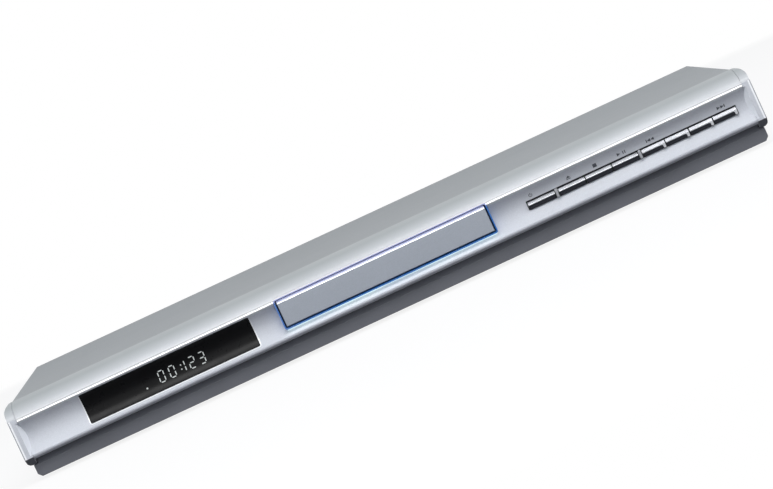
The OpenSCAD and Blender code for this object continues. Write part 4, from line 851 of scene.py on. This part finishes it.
@operator("End caps")
def make_caps():
    """Make the two end caps, with a rounded outer edge and a bright slanted inner wall"""
    side_x = (BODY_HALF - CAP_SIDE) * MM
    facet_box = (-BODY_HALF, -1, SCOOP_BOTTOM), (BODY_HALF, FACET_DEPTH, SCOOP_TOP)
    for side, way in (("left", -1), ("right", 1)):
        cap = copied_node(f"{side}_end_cap", f"{side}_cap_moulding")
        bm = bmesh.new()
        bm.from_mesh(cap.data)
        outer = [e for e in bm.edges if all(v.co.x * way > side_x for v in e.verts)
                 and len(e.link_faces) == 2 and e.calc_face_angle() > 0.6]
        round_edges(bm, outer, settings().cap_round / MM, 4)
        bm.to_mesh(cap.data)
        bm.free()
        soften(cap, settings().edge_round / MM * CAP_SOFT_SHARE, angle=24)
        dress(cap, "cap_paint", "case", [f"{side}_end_cap"])
        next_finish(cap, "lip_paint", lambda at, normal: at.z > LIP_EDGE_Z * MM)
        # The slanted inner wall gets painted light
        next_finish(cap, "facet_paint", lambda at, normal: normal.x * way < -0.6 and within(at, *facet_box))
        # The foot gets the skirt's grey as painted shade
        next_finish(cap, "skirt_grey", lambda at, normal: at.z < CAP_PAINTED_SHADE_Z * MM)


@operator("Cover")
def make_cover():
    """Make the folded steel cover with rounded folds"""
    cover = rounded_node("top_cover", "cover_sheet", settings().fold_round / MM * FOLD_SHARE, segments=3, angle=50)
    top = (TOP_Z - 1) * MM
    # The cover's front top edge gets a painted highlight
    next_finish(cover, "worn_edge", lambda at, normal: normal.y < -0.3 and normal.z > 0.2 and at.z > top)


@operator("Skirt")
def make_skirt():
    """Make the dark skirt under the front"""
    rounded_node("lower_skirt", "skirt_moulding", settings().edge_round / MM, angle=30)


@operator("Display window")
def make_window():
    """Make the smoked pane, and the bright rim round its sides and foot"""
    rounded_node("display_window", "window_pane", 0.12, angle=40)
    left, right = window_sides()
    band = scoop_band(WINDOW_LOW - 1, WINDOW_HIGH + 1, 28, -RIM_PROUD, PANE_STEP - 0.02)
    rim = solid("window_rim", outline_solid, band, left - 1, right + 1)
    carve(rim, "INTERSECT", opening("rim_outside", left, right, WINDOW_LOW, WINDOW_HIGH, WINDOW_CORNER))
    carve(rim, "DIFFERENCE", opening(
        "rim_inside", left + RIM_WIDE, right - RIM_WIDE, WINDOW_LOW + RIM_WIDE, WINDOW_HIGH + 2,
        WINDOW_CORNER - RIM_WIDE))
    shade(rim)
    # The rim is coloured as a painted highlight
    dress(rim, "worn_edge")


def digit_bars(bm, digit, x, low, tall):
    """Draws a seven-segment digit as thin slanted bars with gaps at the corners."""
    side, half, thick, gap = tall * 0.25, tall / 2, tall * 0.085, tall * 0.06
    ends = {
        "a": ((-side, tall), (side, tall)), "g": ((-side, half), (side, half)), "d": ((-side, 0), (side, 0)),
        "f": ((-side, half), (-side, tall)), "b": ((side, half), (side, tall)),
        "e": ((-side, 0), (-side, half)), "c": ((side, 0), (side, half)),
    }
    for letter in SEGMENTS[digit]:
        start, end = (Vector(point) for point in ends[letter])
        along = (end - start).normalized()
        across = Vector((-along.y, along.x)) * thick / 2
        start, end = start + along * gap, end - along * gap
        tip = along * thick / 2
        points = [start, start + tip + across, end - tip + across, end, end - tip - across, start + tip - across]
        layer(bm, [(x + p.x + DIGIT_SLANT * p.y, low + p.y) for p in points], PANE_STEP - DIGIT_PROUD,
              2 * DIGIT_PROUD)


@operator("Digits")
def make_digits():
    """Make the lit digits, their colon and the lit dot, seen in the pane"""
    bm = bmesh.new()
    for digit, x in LIT_DIGITS:
        digit_bars(bm, digit, x, DIGIT_LOW, settings().digit_height / MM)
    for x, z, size in LIT_DOTS:
        corners = [(x + a * size, z + b * size) for a, b in ((-1, -1), (1, -1), (1, 1), (-1, 1))]
        layer(bm, corners, PANE_STEP - DIGIT_PROUD, 2 * DIGIT_PROUD)
    dress(new_piece("lit_digits", bm), "digit_glow")


@operator("Light ring")
def make_ring():
    """Make the light guide round the tray's lid, and the lit line under it"""
    ring = rounded_node("tray_light_ring", "ring_moulding", 0.15, segments=3, angle=40)
    foot_box = (-BODY_HALF, -1, 0), (BODY_HALF, RING_GLOW_DEPTH, RING_GLOW_Z)
    next_finish(ring, "ring_glow", lambda at, normal: normal.z < -0.8 and within(at, *foot_box))
    low, high = box_mm("tray_light_ring")
    # The band is a painted pool of light, not part of the light guide
    band = scoop_band(LIGHT_POOL_LOW, LIGHT_POOL_HIGH, 4, -LIGHT_POOL_PROUD, LIGHT_POOL_PROUD)
    glow = solid("ring_lit_line", outline_solid, band, low[0] + LIGHT_POOL_INSET, high[0] - LIGHT_POOL_INSET)
    shade(glow)
    dress(glow, "ring_spill")


@operator("Tray lid")
def make_lid():
    """Make the tray's lid with its bright top bevel"""
    lid = rounded_node("tray_lid", "lid_plate", 0.25, segments=3, angle=20)
    # The top bevel gets a painted highlight
    next_finish(lid, "bright_edge", lambda at, normal: normal.z > 0.3 and normal.y < -0.3)


def wrapped_key(name, left, right):
    """The body of a key whose bright face wraps round its right end, over an undercut."""
    key = solid(name, outline_solid, WRAPPED_KEY, left, right)
    bm = bmesh.new()
    cut = box_solid(bm, (left - 1, 0, CUT_LOW), (right - CUT_END, CUT_BACK, CUT_TOP))
    corner = [e for e in edges_along(set(cut), 1)
              if all(v.co.x > (right - CUT_END - 0.1) * MM and v.co.z > (CUT_TOP - CUT_ROUND) * MM for v in e.verts)]
    round_edges(bm, corner, CUT_ROUND, 5)
    turn = Matrix.Rotation(math.radians(CUT_TURN), 4, "X")
    bmesh.ops.rotate(bm, verts=bm.verts, cent=at_mm(0, CUT_BACK, CUT_TOP), matrix=turn)
    carve(key, "DIFFERENCE", new_piece("cut_finger", bm))
    bm = bmesh.new()
    bm.from_mesh(key.data)
    bpy.data.meshes.remove(key.data)
    return bm


def make_button(name, wrapped):
    """A chrome button: bright upper chamfer, undercut front, bezel flange and stem."""
    low, high = box_mm(f"{name}_button")
    left, right = low[0] + KEY_GAP, high[0] - KEY_GAP
    middle = (left + right) / 2
    if wrapped:
        bm = wrapped_key(f"{name}_key", left, right)
    else:
        bm = bmesh.new()
        outline_solid(bm, PLAIN_KEY, left, right)
    rounded_box(bm, (left, FLANGE_FRONT, FLANGE_LOW), (right, FLANGE_REAR, FLANGE_HIGH), FLANGE_ROUND, 1, 2)
    cylinder(bm, STEM_R, (middle, FLANGE_REAR, STEM_Z), (middle, STEM_REAR, STEM_Z), segments=24)
    button = new_piece(f"{name}_key", bm)
    soften(button, 0.1, angle=25)
    dress_as(button, f"{name}_button")
    face_y = NOSE_Y + KEY_FACE_DEPTH * MM
    # The lower facet gets a painted dark reflection
    next_finish(button, "button_foot", lambda at, normal: max(normal.y, normal.z) < -0.25 and at.z < KEY_PAINTED_REFLECTION_Z * MM)
    # The sides, the back and the top get painted shade
    next_finish(button, "slot_shade", lambda at, normal: abs(normal.x) > 0.8 or at.y > face_y
                or (normal.y > -0.45 and at.z > KEY_PAINTED_SHADE_Z * MM))


@operator("Buttons")
def make_buttons():
    """Make the eight buttons and the two dividers between them"""
    for name in PLAIN_BUTTONS + WRAPPED_BUTTONS:
        make_button(name, name in WRAPPED_BUTTONS)
    dividers = rounded_node("button_dividers", "chrome_dividers", 0.12, angle=30)
    # The dividers' sides get painted shade
    next_finish(dividers, "slot_shade", lambda at, normal: abs(normal.x) > 0.8)


def bar(x0, x1, z0=-SIGN_HALF, z1=SIGN_HALF):
    """An upright bar of a sign, round the sign's middle."""
    return [(x0, z0), (x1, z0), (x1, z1), (x0, z1)]


def arrow(x0, x1):
    """An arrow head of a sign, from its base to its tip."""
    return [(x0, -SIGN_HALF), (x1, 0), (x0, SIGN_HALF)]


def power_ring():
    """The open ring of the standby sign, in short straight pieces."""
    turns = (math.radians(POWER_START) + POWER_STEP * i for i in range(POWER_STEPS))
    return [[(r * math.cos(a), r * math.sin(a)) for r, a in (
        (POWER_OUTSIDE, turn), (POWER_OUTSIDE, turn + POWER_STEP), (POWER_INSIDE, turn + POWER_STEP),
        (POWER_INSIDE, turn))] for turn in turns]


SIGNS = (
    (86.0, [bar(-0.18, 0.18, 0.0, 1.15), *power_ring()]),
    (108.2, [[(-1.3, -0.2), (1.3, -0.2), (0, 1.1)], bar(-1.3, 1.3, -0.9, -0.5)]),
    (123.7, [bar(-1.1, 1.1, -1.0, 1.0)]),
    (139.3, [arrow(-2.5, -0.5), bar(0.8, 1.3), bar(1.9, 2.4)]),
    (156.3, [bar(-2.4, -1.9), arrow(0.1, -1.9), arrow(2.2, 0.2)]),
    (197.7, [arrow(-2.2, -0.2), arrow(-0.1, 1.9), bar(1.9, 2.4)]),
)


@operator("Button signs")
def make_signs():
    """Make the signs above the buttons: standby, eject, stop, play and pause, back and forward"""
    bm = bmesh.new()
    for middle, shapes in SIGNS:
        for points in shapes:
            layer(bm, [(middle + x, SIGN_Z + z) for x, z in points], -SIGN_PROUD, SIGN_THICK)
    dress(new_piece("button_signs", bm), "print_grey")


# Operators of the inside and the rear

@operator("Mechanism and boards")
def make_copies():
    """Round the edges of the mechanism, the boards and the rear parts"""
    for node, width in ROUNDS.items():
        rounded_node(node, f"{node}_detail", width)


def cross_bars(name, long, wide):
    """One bar of the cross recess for every screw head."""
    bm = bmesh.new()
    for axis, heads in SCREW_HEADS:
        sizes = [long, wide]
        sizes.insert(axis, CROSS_DEEP * 2)
        for head in heads:
            verts = bmesh.ops.create_cube(bm, size=1)["verts"]
            bmesh.ops.scale(bm, verts=verts, vec=Vector(sizes) * MM)
            bmesh.ops.translate(bm, verts=verts, vec=at_mm(*head))
    return new_piece(name, bm)


@operator("Screws")
def make_screws():
    """Make the screws, with a cross recess in each head"""
    screws = copied_node("case_screws", "cross_screws")
    carve(screws, "DIFFERENCE", cross_bars("cut_across", CROSS_LONG, CROSS_WIDE),
          cross_bars("cut_upright", CROSS_WIDE, CROSS_LONG))
    soften(screws, 0.12)
    dress_as(screws, "case_screws")


@operator("Feet")
def make_feet():
    """Make the rubber feet, rounded and with a round recess underneath"""
    feet = copied_node("feet", "rubber_feet")
    bm = bmesh.new()
    for x, back in FEET:
        cylinder(bm, FOOT_HOLE_R, (x, back, -1), (x, back, FOOT_HOLE_TOP), segments=32)
    carve(feet, "DIFFERENCE", new_piece("cut_feet", bm))
    soften(feet, 0.5, segments=3)
    dress_as(feet, "feet")


@operator("Jack rings")
def make_jacks():
    """Make the coloured ring round each phono jack"""
    for number, (colour, x, z) in enumerate(JACK_RINGS):
        ring = disc(f"jack_ring_{number}", JACK_RING_R, (x, z), JACK_RING_FRONT, JACK_RING_REAR, 1)
        carve(ring, "DIFFERENCE", disc(
            "cut_jack", JACK_HOLE_R, (x, z), JACK_RING_FRONT - 0.5, JACK_RING_REAR + 0.7, 1))
        soften(ring, 0.2)
        dress(ring, "insulator_" + colour)


@operator("Board details")
def make_boards():
    """Make the pins of the chips, the tops of the capacitors and the transformer's winding"""
    bm = bmesh.new()
    for low, high in island_boxes("main_chips"):
        for step in range(int((high[1] - low[1] - 1) / PIN_PITCH)):
            row = low[1] + 1 + step * PIN_PITCH
            for edge in (low[0] - PIN_REACH, high[0]):
                box_solid(bm, (edge, row, low[2] + PIN_LOW), (edge + PIN_REACH, row + PIN_WIDE, low[2] + PIN_HIGH))
    dress(new_piece("chip_pins", bm), "pin_metal")
    bm = bmesh.new()
    for x, back, radius, top in CAPACITORS:
        cylinder(bm, radius - CAPACITOR_BORDER, (x, back, top - CAPACITOR_SUNK), (x, back, top + CAPACITOR_PROUD))
    tops = new_piece("capacitor_tops", bm)
    soften(tops, 0.1)
    dress(tops, "sink_aluminium")
    winding = solid("transformer_winding", rounded_box, *WINDING_BOX, WINDING_ROUND, 2, 5)
    soften(winding, 0.6, segments=3)
    dress(winding, "winding_tape")


@operator("Turntable ring")
def make_turntable():
    """Make the rubber ring on the turntable's face"""
    low, high = box_mm("turntable")
    centre = (low[0] + high[0]) / 2, (low[1] + high[1]) / 2
    ring = disc("turntable_rubber", RUBBER_OUTSIDE, centre, RUBBER_LOW, RUBBER_HIGH, 2, 64)
    carve(ring, "DIFFERENCE", disc(
        "cut_ring_hole", RUBBER_INSIDE, centre, RUBBER_LOW - 0.6, RUBBER_HIGH + 0.5, 2, 64))
    soften(ring, 0.1)
    dress(ring, "foot_rubber", body_of("turntable"))


# Stage

def seen_rays(tree):
    """The camera's rays, and with them the reflected and refracted ones, which see the background too."""
    path = tree.nodes.new("ShaderNodeLightPath")
    camera = path.outputs["Is Camera Ray"]
    seen = maths(tree, "MAXIMUM", camera, path.outputs["Is Glossy Ray"])
    return camera, maths(tree, "MAXIMUM", seen, path.outputs["Is Transmission Ray"])


def mixed_surface(tree, output, factor, first, second):
    """Shows a mix of two shaders as the tree's output."""
    out = tree.nodes.new(output)
    mix = tree.nodes.new("ShaderNodeMixShader")
    for socket, source in zip(mix.inputs, (factor, first, second)):
        tree.links.new(source, socket)
    tree.links.new(mix.outputs["Shader"], out.inputs["Surface"])


def backdrop(tree, colour, strength):
    """An even background."""
    node = tree.nodes.new("ShaderNodeBackground")
    node.inputs["Color"].default_value = (*colour, 1)
    node.inputs["Strength"].default_value = strength
    return node.outputs["Background"]


def make_room():
    """A white surround for what the camera sees, and a weak even light for the rest."""
    world = bpy.data.worlds.new("room")
    bpy.context.scene.world = world
    tree = empty_tree(world)
    room = backdrop(tree, ROOM_COLOUR, settings().room_light)
    mixed_surface(tree, "ShaderNodeOutputWorld", seen_rays(tree)[1], room, backdrop(tree, (1, 1, 1), 1.0))


def floor_finish():
    """Pale floor that keeps the player's shadow near it, turns white farther off and gives little light back."""
    material = bpy.data.materials.new("floor_pale")
    tree = empty_tree(material)
    pale = tree.nodes.new("ShaderNodeBsdfDiffuse")
    white = tree.nodes.new("ShaderNodeEmission")
    distance = tree.nodes.new("ShaderNodeVectorMath")
    distance.operation = "LENGTH"
    tree.links.new(place(tree, (0.6, 1, 1)), distance.inputs[0])
    far = spread(tree, distance.outputs["Value"], 0, 1, SHADOW_END, WHITE_START)
    camera, seen = seen_rays(tree)
    tint = blend_colours(tree, maths(tree, "MAXIMUM", camera, far), FLOOR_NEAR, FLOOR_PALE)
    tree.links.new(tint, pale.inputs["Color"])
    near_white = maths(tree, "MULTIPLY", camera, FLOOR_WHITE_SHARE)
    share = maths(tree, "MAXIMUM", near_white, maths(tree, "MULTIPLY", seen, far))
    mixed_surface(tree, "ShaderNodeOutputMaterial", share, pale.outputs["BSDF"], white.outputs["Emission"])
    return material


def make_lamp(name, size, spot, aim_z, power, colour):
    """A rectangular soft light aimed at the player."""
    data = bpy.data.lights.new(name, "AREA")
    data.shape = "RECTANGLE"
    data.size, data.size_y = size
    data.energy = getattr(settings(), power)
    data.color = colour
    lamp = bpy.data.objects.new(name, data)
    lamp.location = spot
    lamp.rotation_euler = (Vector((0, 0, aim_z)) - Vector(spot)).to_track_quat("-Z", "Y").to_euler()
    bpy.context.scene.collection.objects.link(lamp)


def make_camera():
    """The camera of the photograph: slightly above the front and rolled."""
    yaw, pitch, roll = (math.radians(turn) for turn in CAMERA_TURNS)
    forward = Vector((math.sin(yaw) * math.cos(pitch), math.cos(yaw) * math.cos(pitch), -math.sin(pitch)))
    right = Vector((math.cos(yaw), -math.sin(yaw), 0))
    up = right.cross(forward)
    turned_right = right * math.cos(roll) - up * math.sin(roll)
    turned_up = right * math.sin(roll) + up * math.cos(roll)
    data = bpy.data.cameras.new("camera")
    data.sensor_fit = "HORIZONTAL"
    data.sensor_width = CAMERA_SENSOR
    data.lens = CAMERA_LENS_SHARE * CAMERA_SENSOR
    data.clip_start, data.clip_end = 0.05, 50
    camera = bpy.data.objects.new("camera", data)
    stand = Matrix((turned_right, turned_up, -forward)).transposed().to_4x4()
    stand.translation = Vector(CAMERA_AIM) - forward * CAMERA_DISTANCE
    camera.matrix_world = stand
    bpy.context.scene.collection.objects.link(camera)
    bpy.context.scene.camera = camera


@operator("Stage")
def make_stage():
    """Make the pale floor, the soft lights and the camera of the photograph"""
    bpy.context.scene.view_settings.view_transform = "Standard"
    make_room()
    bm = bmesh.new()
    bmesh.ops.create_grid(bm, x_segments=1, y_segments=1, size=FLOOR_HALF)
    floor = new_piece("floor", bm)
    floor.data.materials.append(floor_finish())
    for lamp in LAMPS:
        make_lamp(*lamp)
    make_camera()


# Panel and registration

class DISCPLAYER_PT_panel(bpy.types.Panel):
    """Lists the settings and the making steps"""
    bl_label = "Disc Player"
    bl_idname = "DISCPLAYER_PT_panel"
    bl_space_type = "VIEW_3D"
    bl_region_type = "UI"
    bl_category = "Disc Player"

    def draw(self, context):
        """Draws the settings and one button for each step."""
        for name in PlayerSettings.__annotations__:
            self.layout.prop(context.scene.disc_player, name)
        for step in OPERATORS:
            self.layout.operator(step.bl_idname)


CLASSES = (PlayerSettings, *OPERATORS, DISCPLAYER_PT_panel)


def register():
    """Registers the add-on's classes and settings."""
    for entry in CLASSES:
        bpy.utils.register_class(entry)
    bpy.types.Scene.disc_player = bpy.props.PointerProperty(type=PlayerSettings)


def unregister():
    """Removes the add-on's classes and settings."""
    del bpy.types.Scene.disc_player
    for entry in reversed(CLASSES):
        bpy.utils.unregister_class(entry)


def main():
    """Makes the whole scene in order and writes the sizes of the solids and of the dressed part."""
    register()
    for step in OPERATORS:
        group, name = step.bl_idname.split(".")
        getattr(getattr(bpy.ops, group), name)()


if __name__ == "__main__":
    main()
